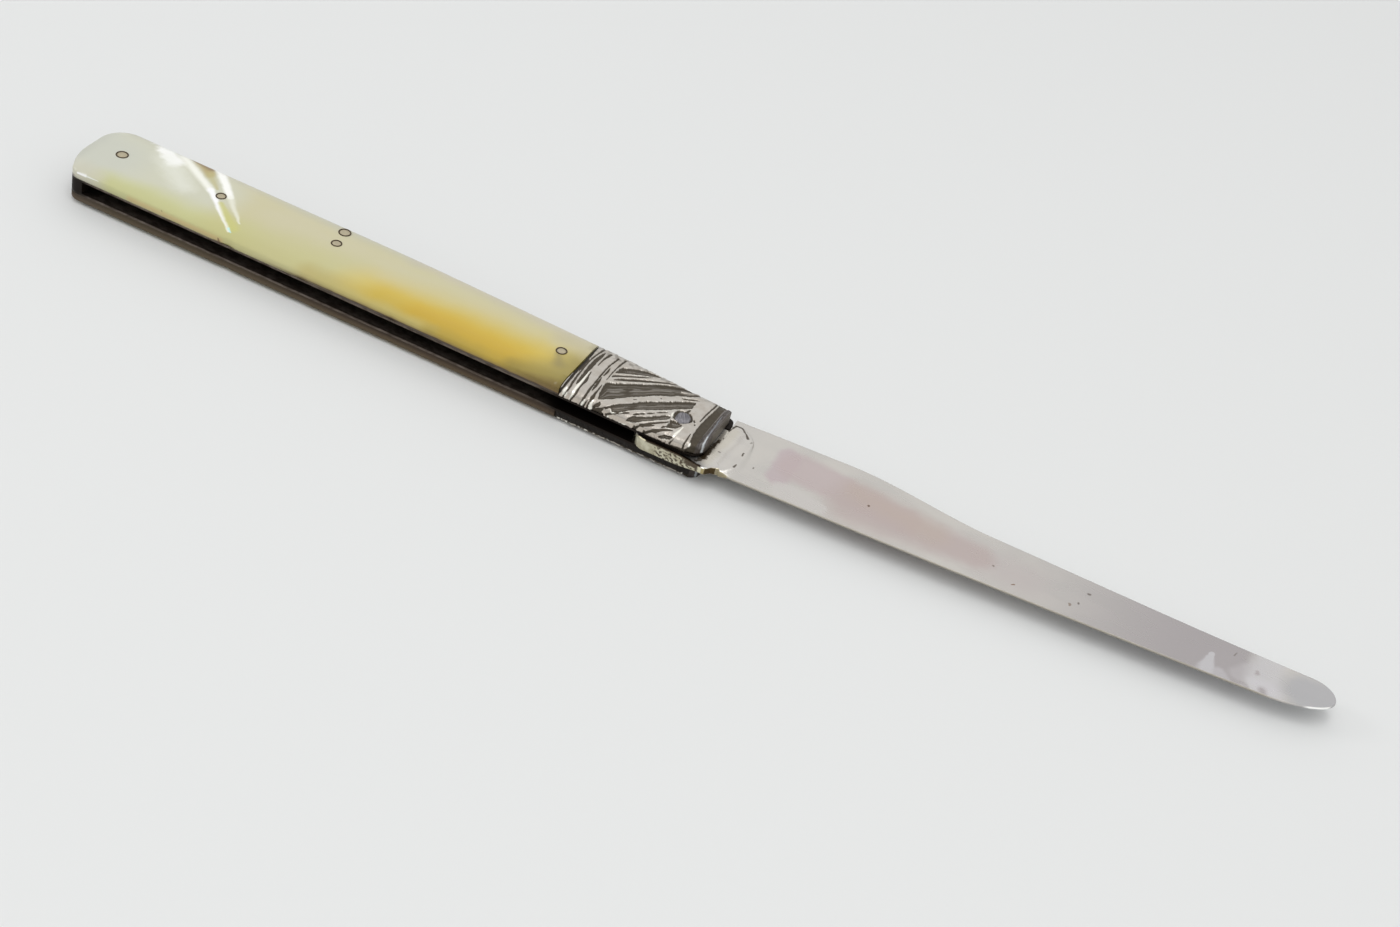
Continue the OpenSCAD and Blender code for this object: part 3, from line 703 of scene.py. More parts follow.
def makeBolster(name, side, seed, material):
    b, h = bolster, handle
    n, m = b["stations"], b["across"]
    xs = np.linspace(h["joint"] + b["jointGap"], h["front"], n)

    def roundedFront(radius):
        reach = np.clip(xs - (h["front"] - radius), 0, radius)
        return radius - np.sqrt(radius ** 2 - reach ** 2)

    low = bellyLine(xs) + roundedFront(b["bellyRadius"])
    high = backLine(xs) - roundedFront(b["backRadius"])
    s = np.linspace(0, 1, m)
    s = s - b["crowding"] * np.sin(2 * np.pi * s) / (2 * np.pi)
    x = np.repeat(xs[:, None], m, axis=1)
    y = low[:, None] + (high - low)[:, None] * s[None, :]
    z = crown(x, y)
    depth, bright, shine = ornament(x, y, seed)
    slope = 0.01
    normal = np.stack([(crown(x - slope, y) - crown(x + slope, y)) / (2 * slope),
                       (crown(x, y - slope) - crown(x, y + slope)) / (2 * slope),
                       np.ones(x.shape)], -1)
    normal /= np.linalg.norm(normal, axis=-1, keepdims=True)
    depth = depth * smoothStep(0, 0.5, s * (1 - s) * 40)[None, :]
    top = np.stack([x, y, z], -1) - normal * depth[..., None]
    # the ornament runs on down the near side, and the far side is plainer
    fall = np.linspace(0, 1, b["wallSteps"] + 1)[1:]
    wallX = np.repeat(xs[:, None], len(fall), axis=1)
    sunk, clear, glow = ornament(wallX, low[:, None] - h["side"] * fall[None, :], seed)
    # the near wall darkens towards its bottom from there, and most at its lowest edge
    dimming = np.interp(xs, b["dimmingAt"], b["dimmingFrom"])[:, None]
    clear = clear * (1 - smoothStep(-0.12, 0.12, fall[None, :] - dimming))
    clear = clear * (1 - 0.4 * smoothStep(0.9, 1.0, fall))[None, :]
    # the rear bolster's near wall gets painted shade with dirt, as values below zero, and no
    # glints
    if side < 0:
        clear, glow = clear * 0.1 - 0.5, glow * 0
    rough = noiseField(wallX, np.repeat(fall[None, :], n, axis=0), 1.0, (1.3, 1.3), seed)
    level = np.repeat(h["side"] * (1 - fall)[None, :], n, axis=0)
    nearY = low[:, None] + b["wallShare"] * sunk + 0.03 * rough
    nearWall = np.stack([wallX, nearY, level], -1)[:, ::-1]
    notch = noiseField(xs, 0 * xs, 3.0, (1.7, 1.0), seed)
    notch += 0.6 * noiseField(xs, 0 * xs, 6.0, (4.0, 1.0), seed)
    uneven = b["uneven"] * notch[:, None]
    farPush, nearPush = b["backUneven"] * uneven, b["nearUneven"] * uneven
    top[..., 1] += farPush * smoothStep(0.9, 1.0, s)[None, :]
    top[..., 1] += nearPush * smoothStep(0.06, 0.0, s)[None, :]
    nearWall[..., 1] += nearPush
    farWall = np.stack([wallX, high[:, None] - 0.04 + farPush + 0.01 * rough, level], -1)
    points = np.concatenate([nearWall, top, farWall], axis=1)
    faces = cappedTube(n, points.shape[1])
    piece = addMesh(name, onLiner(points.reshape(-1, 3), side),
                    flipped(faces) if side > 0 else faces, material, 2)
    farClear = np.clip(bright[:, -1:] * (0.75 - 0.5 * fall[None, :]) + 0.2 * rough, 0, 1)
    # wear of the metal, and below zero the painted shade with dirt of the rear bolster's near wall
    wear = np.concatenate([clear[:, ::-1], bright, farClear], axis=1)
    wear[-1] *= 0.3
    glint = np.concatenate([glow[:, ::-1], shine, np.zeros(farClear.shape)], axis=1)
    storeValues(piece, wear=wear, glint=glint)
    return piece


def bolsterFinish():
    f = Finish("bolsterSilver")
    x, y, z = f.axes(f.place)
    wear, glint = f.attribute("wear"), f.attribute("glint")
    worn = f.ramp(wear, 0.0, 1.0)
    light = f.mix(f.ramp(f.noise(0.9, 4), 0.35, 0.7), srgb(197, 192, 185), srgb(186, 179, 170))
    dark = f.mix(f.noise(2.5, 3), srgb(60, 53, 43), srgb(82, 74, 61))
    # painted shade dulls the near shoulder, and painted light makes the front's near wall paler
    # and warmer
    light = f.mix(f.ramp(y, -3.6, -2.2, (0.6, 0)), light, srgb(174, 167, 158))
    wall = f.times(f.ramp(z, 4.7, 4.95, (1, 0)), f.math("GREATER_THAN", z, 3.0))
    light = f.mix(wall, light, srgb(206, 196, 184))
    # below zero: painted shade with dirt on the rear bolster's near wall, near black
    dark = f.mix(f.ramp(wear, -0.4, 0.0, (1, 0)), dark, srgb(27, 22, 18))
    dark = f.mix(f.ramp(x, -15.0, -14.75, (0.9, 0)), dark, srgb(28, 22, 16))
    # a bluer, streaked ridge at the front end
    ridge = f.ramp(x, 3.45, 3.6)
    light = f.mix(ridge, light, srgb(142, 138, 138))
    dark = f.mix(ridge, dark, srgb(74, 67, 62))
    colour, pitted = f.speckle(f.mix(worn, dark, light), 2.6, 0.22, 0.5, (96, 86, 76))
    colour = f.marks(colour, f.ragged(2.2, 0.2), [
        # painted highlights: a bright streak down the ridge and a fainter one above it; then a
        # darker front edge
        ((4.36, -3.9), (4.08, -1.0), (0.13, 0.07), 0.8, 0.95, (206, 211, 215)),
        ((4.08, -1.0), (3.8, 4.2), (0.08, 0.06), 0.9, 0.6, (150, 155, 163)),
        ((4.75, 6.2), (4.7, -0.2), (0.4, 0.3), 0.6, 0.8, (104, 97, 87)),
        ((4.8, -0.6), (4.75, -4.4), (0.26, 0.24), 0.5, 0.95, (60, 50, 40)),
    ])
    colour = f.mix(glint, colour, srgb(250, 248, 238))
    rough = f.blend(glint, f.blend(worn, 0.5, 0.32), 0.14)
    f.set(colour=colour, metal=f.blend(f.math("MAXIMUM", worn, glint), 0.55, 1.0), rough=rough)
    f.bump(f.math("ADD", f.times(f.noise(5, 4), 0.6), f.times(pitted, 0.4)), 0.03, 0.6)
    return f.material


bolsterSilver = bolsterFinish()
frontBolster = makeBolster("frontBolster", 1, 3.1, bolsterSilver)
rearBolster = makeBolster("rearBolster", -1, 11.7, bolsterSilver)
for piece, node in ((frontBolster, "front_bolster"), (rearBolster, "rear_bolster")):
    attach(piece, "handle")
    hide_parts(node)
print("bolsters done")


# Pearl scales
pearl = {
    "rings": 9, "cornerSteps": 10, "spacing": 1.1, "wallLevels": [0.0, 0.25, 0.55],
    "endGap": 0.1, "bevel": 0.1, "bevelFrom": 1.2, "chipInset": 0.6,
    # place along the knife, half length and depth
    "chips": [(-63.9, 0.35, 0.16), (-53.2, 0.5, 0.12), (-39.6, 0.4, 0.08), (-71.2, 0.3, 0.07)],
}


def scaleCorners(inset):
    h = handle
    return [
        (h["joint"] + inset, float(bellyLine(h["joint"])), h["jointRadius"]),
        (h["joint"] + inset, float(backLine(h["joint"])), h["jointRadius"]),
        (h["bendAt"], h["backButt"], h["bendRadius"]),
        (h["butt"], h["backButt"], h["buttRadius"]),
        (h["butt"], h["slantAt"], h["slantRadius"]),
        (h["slantEnd"], h["bellyButt"], h["cornerRadius"]),
    ]


def roundedOutline(corners, inset, steps):
    # each corner moved in by the inset and rounded, as the part's source does it
    pts = [np.array(c[:2], float) for c in corners]
    n = len(pts)

    def unit(v):
        return v / np.linalg.norm(v)

    moved = []
    for i in range(n):
        u, v = unit(pts[i - 1] - pts[i]), unit(pts[(i + 1) % n] - pts[i])
        moved.append(pts[i] + unit(u + v) * inset / math.sin(math.acos(u @ v) / 2))
    arcs = []
    for i in range(n):
        a, b, c = moved[i - 1], moved[i], moved[(i + 1) % n]
        r = max(corners[i][2] - inset, 0.02 if corners[i][2] < 0.1 else 0.2)
        u, v = unit(a - b), unit(c - b)
        half = math.acos(u @ v) / 2
        mid = b + unit(u + v) * r / math.sin(half)
        start, end = b + u * r / math.tan(half) - mid, b + v * r / math.tan(half) - mid
        first = math.atan2(start[1], start[0])
        turn = (math.atan2(end[1], end[0]) - first + math.pi) % (2 * math.pi) - math.pi
        arcs.append([mid + r * np.array([math.cos(first + turn * k / steps),
                                         math.sin(first + turn * k / steps)])
                     for k in range(steps + 1)])
    return arcs


def outlineRing(inset):
    # corner arcs joined by evenly spaced points, with the same counts on every ring
    base = roundedOutline(scaleCorners(0.0), 0.0, pearl["cornerSteps"])
    arcs = roundedOutline(scaleCorners(inset), inset, pearl["cornerSteps"])
    ring = []
    for k, arc in enumerate(arcs):
        ring += arc
        after = arcs[(k + 1) % len(arcs)][0]
        length = np.linalg.norm(base[(k + 1) % len(base)][0] - base[k][-1])
        parts = max(1, int(round(length / pearl["spacing"])))
        ring += [arc[-1] + (after - arc[-1]) * i / parts for i in range(1, parts)]
    return np.array(ring)


def makeScale(name, side, material):
    h, p = handle, pearl
    levels = [(0.0, level) for level in p["wallLevels"]]
    for i in range(p["rings"] + 1):
        w = math.radians(90 * i / p["rings"])
        levels.append((h["shoulder"] * (1 - math.cos(w)),
                       h["side"] + (h["scale"] - h["side"]) * math.sin(w)))
    rows = []
    for inset, level in levels:
        ring = outlineRing(inset)
        # the end at the bolster is square, with a fine bevel
        drop = p["bevel"] * max(0.0, level - p["bevelFrom"])
        ring[:, 0] = np.minimum(ring[:, 0], h["joint"] - p["endGap"] - drop)
        for at, reach, depth in p["chips"]:
            near = np.exp(-((ring[:, 0] - at) / reach) ** 2) * (ring[:, 1] < 0)
            ring[:, 1] += near * depth * max(0.0, 1 - inset / p["chipInset"])
        rows.append(np.column_stack([ring, np.full(len(ring), level)]))
    faces = cappedTube(len(rows), len(rows[0]))
    return addMesh(name, onLiner(np.concatenate(rows), side),
                   faces if side > 0 else flipped(faces), material, 2)


def pearlFinish():
    f = Finish("pearlShell")
    place = f.ragged(0.12, 2.2)
    fine = f.ragged(0.5, 0.5)
    cloud = f.noise(0.11, 3, (1, 1.6, 1))
    puffed = f.ragged(0.9, 1.5)
    colour = f.mix(f.ramp(cloud, 0.35, 0.65), srgb(204, 198, 164), srgb(203, 197, 158))
    # start, end, half widths, softness, strength, colour
    colour = f.marks(colour, place, [
        ((-92, 2), (-72, 2.6), (9, 5), 0.6, 0.9, (206, 207, 188)),
        ((-92, 2), (-86, 1.5), (7, 5), 0.6, 0.8, (200, 202, 190)),
        ((-82.6, -4.2), (-64, -4), (2.0, 3.2), 0.9, 0.85, (199, 201, 142)),
        ((-66, -3), (-50, -2.5), (3, 4.5), 0.9, 0.8, (196, 192, 134)),
        ((-90, -3.8), (-84, -4), (1.8, 1.2), 0.9, 0.6, (202, 199, 182)),
        ((-90, 6.6), (-90.3, -0.5), (1.4, 1.6), 0.9, 0.7, (182, 183, 170)),
        ((-44.5, -2), (-17.5, -1.2), (3.2, 5.0), 1.0, 0.95, (210, 190, 98)),
        ((-42, -1.8), (-21.5, -1.7), (2.0, 3.2), 1.0, 0.95, (207, 178, 60)),
        ((-37, -2.4), (-24, -2.6), (1.8, 2.4), 1.0, 0.8, (206, 168, 28)),
        # painted shade: the near edge a little darker, from the butt to the bolster
        ((-82, -4.2), (-50, -4.0), (1.1, 1.4), 1.0, 0.2, (178, 172, 122)),
        ((-52, -3.8), (-20, -3.6), (1.5, 2.0), 1.0, 0.4, (176, 152, 74)),
        ((-50, -4.6), (-34, -4.6), (1.1, 1.1), 0.9, 0.8, (184, 173, 110)),
        ((-34, -4.6), (-22, -4.6), (1.1, 1.5), 0.9, 0.8, (166, 144, 60)),
        ((-22, -4.8), (-14, -4.2), (1.5, 2.4), 0.9, 0.8, (136, 118, 50)),
        ((-14.5, -3.2), (-14.8, 0.8), (6, 2.8), 1.0, 0.9, (148, 134, 70)),
        ((-86, 8.7), (-42, 8.5), (1.2, 1.7), 0.9, 0.7, (188, 187, 170)),
        ((-42, 8.5), (-14, 7.5), (1.7, 1.6), 0.9, 0.7, (193, 186, 168)),
        ((-19, 5.4), (-14.6, 5.2), (1.6, 1.9), 1.0, 0.7, (192, 184, 154)),
        ((-22, -4.5), (-14.8, -4.2), (0.3, 1.1), 0.9, 0.85, (100, 78, 36)),
    ])
    # painted reflections: a bright white sheen near the butt
    colour = f.marks(colour, puffed, [
        ((-81.6, 7.4), (-79, 5.9), (1.0, 1.2), 0.7, 1.0, (255, 255, 252)),
        ((-80, 5.6), (-74.6, 1.6), (1.5, 1.3), 1.0, 0.5, (238, 240, 230)),
        ((-83.5, 8.2), (-79, 7.8), (0.5, 0.5), 0.9, 0.5, (236, 238, 232)),
    ])
    colour = f.marks(colour, fine, [
        # painted reflection: a bright streak of sheen
        ((-78.6, 7.6), (-71.6, 3.3), (0.6, 0.45), 0.9, 0.9, (252, 252, 242)),
        ((-71.6, 3.3), (-64.5, -3.0), (0.45, 0.2), 0.7, 1.0, (255, 255, 255)),
        ((-75.8, 8.2), (-73.6, 6.2), (1.1, 0.6), 0.7, 0.9, (176, 156, 96)),
        ((-73.6, 6.2), (-71.0, 4.0), (0.6, 0.2), 0.9, 0.7, (190, 182, 128)),
        ((-77.4, 8.0), (-74.5, 7.7), (0.2, 0.55), 0.9, 0.95, (126, 98, 42)),
        # painted reflection: a second bright streak
        ((-73.4, 8.2), (-68.6, 3.5), (0.6, 0.45), 0.6, 1.0, (255, 255, 250)),
        ((-68.6, 3.5), (-64.4, -0.8), (0.45, 0.12), 0.9, 0.65, (242, 242, 228)),
        ((-68.8, 1.5), (-64.4, -2.2), (0.4, 0.75), 0.7, 0.7, (202, 200, 116)),
        # painted reflection: the first streak's cyan tip
        ((-64.8, -2.6), (-64.2, -3.1), (0.14, 0.1), 0.9, 0.7, (188, 246, 246)),
        ((-72.8, 8.3), (-66, 8.3), (0.3, 0.4), 0.9, 0.5, (190, 180, 140)),
        # painted shadow of the pin, falling down to the right
        ((-18.4, 1.8), (-17.4, 0), (0.4, 0.8), 1.0, 0.5, (130, 120, 84)),
    ])
    x, y, z = f.axes(f.place)
    # marks on the near side, placed by length and height; the far side is moved out of reach
    farAway = f.times(f.math("GREATER_THAN", y, 0.0), 1000.0)
    side = f.add("ShaderNodeCombineXYZ", {"X": f.math("ADD", x, farAway), "Y": z})
    colour = f.marks(colour, side.outputs[0], [
        # painted light: a soft peach glow along the near wall
        ((-79, 4.4), (-65, 4.4), (0.4, 0.35), 1.0, 0.5, (206, 172, 118)),
        # painted highlight: a glint at the near butt corner, and its tail
        ((-87.1, 4.86), (-85.9, 4.9), (0.12, 0.16), 0.9, 1.0, (255, 255, 254)),
        ((-85.9, 4.9), (-83.9, 4.95), (0.1, 0.04), 0.9, 0.7, (246, 250, 244)),
        ((-74.05, 4.85), (-73.95, 4.7), (0.08, 0.06), 0.8, 0.6, (130, 108, 68)),
        ((-65.35, 4.5), (-65.2, 4.1), (0.1, 0.2), 0.8, 0.8, (98, 64, 42)),
        ((-66.0, 4.02), (-64.5, 4.02), (0.1, 0.1), 0.9, 0.7, (104, 72, 48)),
    ])
    # browner at the thin rim beside the liner
    fromMiddle = f.math("ABSOLUTE", f.math("SUBTRACT", z, handle["middle"]))
    level = f.math("ADD", fromMiddle, f.times(f.noise(0.6, 3), 0.25))
    towardsFront, butt = f.ramp(x, -62, -46), f.ramp(x, -88.4, -87.0, (1, 0))
    rim = f.times(f.ramp(level, 1.55, 2.1, (0.7, 0)), f.blend(towardsFront, 0.15, 1.0))
    colour = f.mix(rim, colour, srgb(124, 98, 62))
    seam = f.times(f.ramp(level, 1.5, 1.75, (0.95, 0)), f.math("MAXIMUM", towardsFront, butt))
    colour = f.mix(seam, colour, srgb(62, 48, 34))
    # the near side of the scale that lies on the floor is coloured dark, darkest up by the liner
    below = f.times(f.ramp(z, 0.05, 0.4, (0, 0.97)), f.math("LESS_THAN", z, 2.0))
    below = f.times(below, f.math("MAXIMUM", butt, f.ramp(y, -3.2, -1.6, (1, 0))))
    darkPatch = f.mix(f.ramp(z, 0.8, 1.5), srgb(92, 80, 68), srgb(68, 59, 52))
    colour = f.mix(below, colour, darkPatch)
    shiny = f.times(f.math("SUBTRACT", 1.0, below), 0.3)
    f.set(colour=colour, rough=0.32, ior=1.5, specular=shiny, coat=shiny, coatRough=0.06)
    f.bump(f.noise(0.16, 2, (1, 1.4, 1)), 0.5, 0.25)
    return f.material


pearlShell = pearlFinish()
frontScale = makeScale("frontScale", 1, pearlShell)
rearScale = makeScale("rearScale", -1, pearlShell)
for piece, node in ((frontScale, "front_scale"), (rearScale, "rear_scale")):
    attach(piece, "handle")
    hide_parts(node)
print("pearl scales done")


# Blade: a wedge with a thick tang, made level and then turned up about the pivot by its lift,
# which is in degrees
blade = {
    "lift": 3.8, "length": 85.6,
    "spineRoot": 7.05, "spineTip": 2.2, "edgeRoot": 3.9, "edgeBelly": 4.35,
    "stepStart": 21.0, "stepEnd": 41.0, "stepDrop": 2.1, "spineThick": 1.15, "edgeThick": 0.3,
    "tipSpine": 82.4, "tipEdge": 76.6, "tipY": -0.25,
    "bulge": 0.05, "bevel": 0.06, "bevelWidth": 0.12, "pitDepth": 0.08,
    # corners and their radii
    "tang": [(-4.8, -4.48, 2.2), (5.7, -4.3, 0.3), (6.2, -3.6, 0.3), (8.7, -2.6, 2.6),
             (8.7, 4.6, 2.4), (6.45, 6.0, 0.9), (5.25, 6.0, 0.3), (5.25, 4.4, 0.15),
             (-4.8, 4.4, 3)],
    # start, end and colour of the facets of the kick, along the knife
    "facets": [(4.4, 5.2, (222, 216, 190)), (5.2, 5.6, (178, 163, 120)),
               (5.6, 6.75, (78, 64, 42)), (6.75, 8.4, (158, 148, 122))],
    "tangHalf": 0.85, "kickThinning": 0.36, "bladeFrom": 5.45, "edgeFrom": 6.9,
    "fineStep": 0.1, "coarseStep": 0.4, "fineTo": 12.0, "tipSteps": 46,
    "across": 72, "crowding": 0.5, "walls": 13,
}


def roundedTip(x, y, start):
    # from the start on, the line closes in on the tip as an ellipse does
    b = blade
    reach = np.clip((x - start) / (b["length"] - start), 0, 1)
    return b["tipY"] + (y - b["tipY"]) * np.sqrt(1 - reach ** 2)


def bladeSpine(x):
    b = blade
    rest = b["spineRoot"] - b["stepDrop"] - b["spineTip"]
    y = (b["spineRoot"] - b["stepDrop"] * smoothStep(b["stepStart"], b["stepEnd"], x)
         - rest * smoothStep(b["stepStart"], b["length"], x))
    return roundedTip(x, y, b["tipSpine"])


def bladeEdge(x):
    b = blade
    y = -b["edgeRoot"] - (b["edgeBelly"] - b["edgeRoot"]) * np.sin(np.pi * x / b["length"])
    return roundedTip(x, y, b["tipEdge"])


def chainBounds(ring, x):
    # lowest and highest crossing of a closed ring with each upright line
    low, high = np.full(x.shape, np.nan), np.full(x.shape, np.nan)
    for a, b in zip(ring, np.roll(ring, -1, axis=0)):
        left, right = min(a[0], b[0]), max(a[0], b[0])
        hit = (x >= left) & (x <= right) & (right > left)
        y = a[1] + (x - a[0]) * (b[1] - a[1]) / (b[0] - a[0] if b[0] != a[0] else 1)
        low = np.where(hit, np.fmin(low, y), low)
        high = np.where(hit, np.fmax(high, y), high)
    return low, high


def makeBlade(material):
    b = blade
    lift = math.radians(b["lift"])
    level = np.array([[math.cos(lift), math.sin(lift)], [-math.sin(lift), math.cos(lift)]])
    arcs = roundedOutline(b["tang"], 0.0, 6)
    tang = np.array([p for arc in arcs for p in arc]) @ level.T
    fine = np.arange(tang[:, 0].min() + 0.02, b["fineTo"], b["fineStep"])
    coarse = np.arange(b["fineTo"], b["tipEdge"], b["coarseStep"])
    w = np.linspace(0, 1, b["tipSteps"])
    tip = b["tipEdge"] + (b["length"] - b["tipEdge"]) * np.sin(w * math.pi / 2)
    xs = np.concatenate([fine, coarse, tip[1:-1]])
    tangLow, tangHigh = chainBounds(tang, xs)
    edge, spine = bladeEdge(xs), bladeSpine(xs)
    low = np.where(xs >= b["edgeFrom"], np.fmin(tangLow, edge), tangLow)
    high = np.where(xs >= b["bladeFrom"], np.fmax(tangHigh, spine), tangHigh)
    # the walls bulge, so on the tang they start inside its outline
    room = b["bulge"] * (1 - smoothStep(8.0, 9.0, xs))
    low, high = low + room, high - room
    n, m = len(xs), b["across"]
    s = np.linspace(0, 1, m)
    s = s - b["crowding"] * np.sin(2 * np.pi * s) / (2 * np.pi)
    x = np.repeat(xs[:, None], m, axis=1)
    fromEdge = s[None, :] * (high - low)[:, None]
    y = low[:, None] + fromEdge
    wedge = np.clip((y - edge[:, None]) / (b["spineRoot"] + b["edgeRoot"]), 0, 1.1)
    thin = b["edgeThick"] / 2 + wedge * (b["spineThick"] - b["edgeThick"]) / 2
    gap, _ = lineDistance(x, y, np.concatenate([tang, tang[:1]]))
    signed = np.where(insidePolygon(x, y, tang), gap, -gap)
    # the step beside the tang is crisp at the back and worn away towards the edge
    spread = 0.2 + 0.9 * smoothStep(4.5, -1.0, y)
    kick = smoothStep(1.0, 5.0, x) * smoothStep(-1.6, -4.2, y)
    thick = b["tangHalf"] - b["kickThinning"] * kick
    half = thin + (thick - thin) * smoothStep(-1, 0, (signed - 0.04) / spread)
    rim = np.minimum(s, 1 - s)[None, :] * (high - low)[:, None]
    half = half - b["bevel"] * (1 - smoothStep(0, b["bevelWidth"], rim))
    topRow = np.stack([x, y, half], -1)
    bottomRow = np.stack([x, y, -half], -1)[:, ::-1]
    rise = np.linspace(1, -1, b["walls"] + 2)[1:-1]
    bulge = b["bulge"] * (1 - rise ** 2)
    backWall = np.stack([np.stack([xs, high + c, half[:, -1] * r], -1)
                         for r, c in zip(rise, bulge)], 1)
    edgeWall = np.stack([np.stack([xs, low - c, half[:, 0] * r], -1)
                         for r, c in zip(rise[::-1], bulge)], 1)
    # corrosion pits on the near flank of the tang
    along, height = edgeWall[..., 0], edgeWall[..., 2]
    pitted = noiseField(along, height, 0.0, (2.4, 3.2), 4.2)
    pitted += 0.5 * noiseField(along, height, 3.0, (5.0, 6.5), 1.7)
    zone = smoothStep(-2.0, -0.9, along) * (1 - smoothStep(4.3, 4.6, along))
    hole = smoothStep(0.04, 0.16, pitted) * zone
    # one large stain on the upper half, beside the kick
    darkPatch = smoothStep(2.2, 2.7, along) * (1 - smoothStep(4.3, 4.5, along))
    darkPatch = darkPatch * smoothStep(-0.1, 0.12, height + 0.3 * pitted + 0.15)
    hole = np.maximum(hole, darkPatch)
    edgeWall[..., 1] += b["pitDepth"] * hole
    loops = np.concatenate([topRow, backWall, bottomRow, edgeWall], axis=1)
    count = loops.shape[1]
    points = np.concatenate([loops.reshape(-1, 3), [[b["length"], b["tipY"], 0.0]]])
    points[:, :2] = points[:, :2] @ level
    points[:, 2] += handle["middle"]
    # the front end closes on the tip point, and the rear end has the one cap
    last = (n - 1) * count
    faces = tubeFaces(n, count)
    faces += [(last + i, last + (i + 1) % count, n * count) for i in range(count)]
    faces.append(tuple(range(count))[::-1])
    piece = addMesh("bladeSteel", points, flipped(faces), material, 1)
    bare = np.zeros((n, m + b["walls"] + m))
    pit = np.concatenate([bare, hole], axis=1)
    bare[:, :m] = (1 - smoothStep(0.04, 0.16, fromEdge)) * (xs >= 5.2)[:, None]
    flank = np.concatenate([bare, np.ones(hole.shape)], axis=1)
    storeValues(piece, pit=np.append(pit, 0), flank=np.append(flank, 0))
    return piece


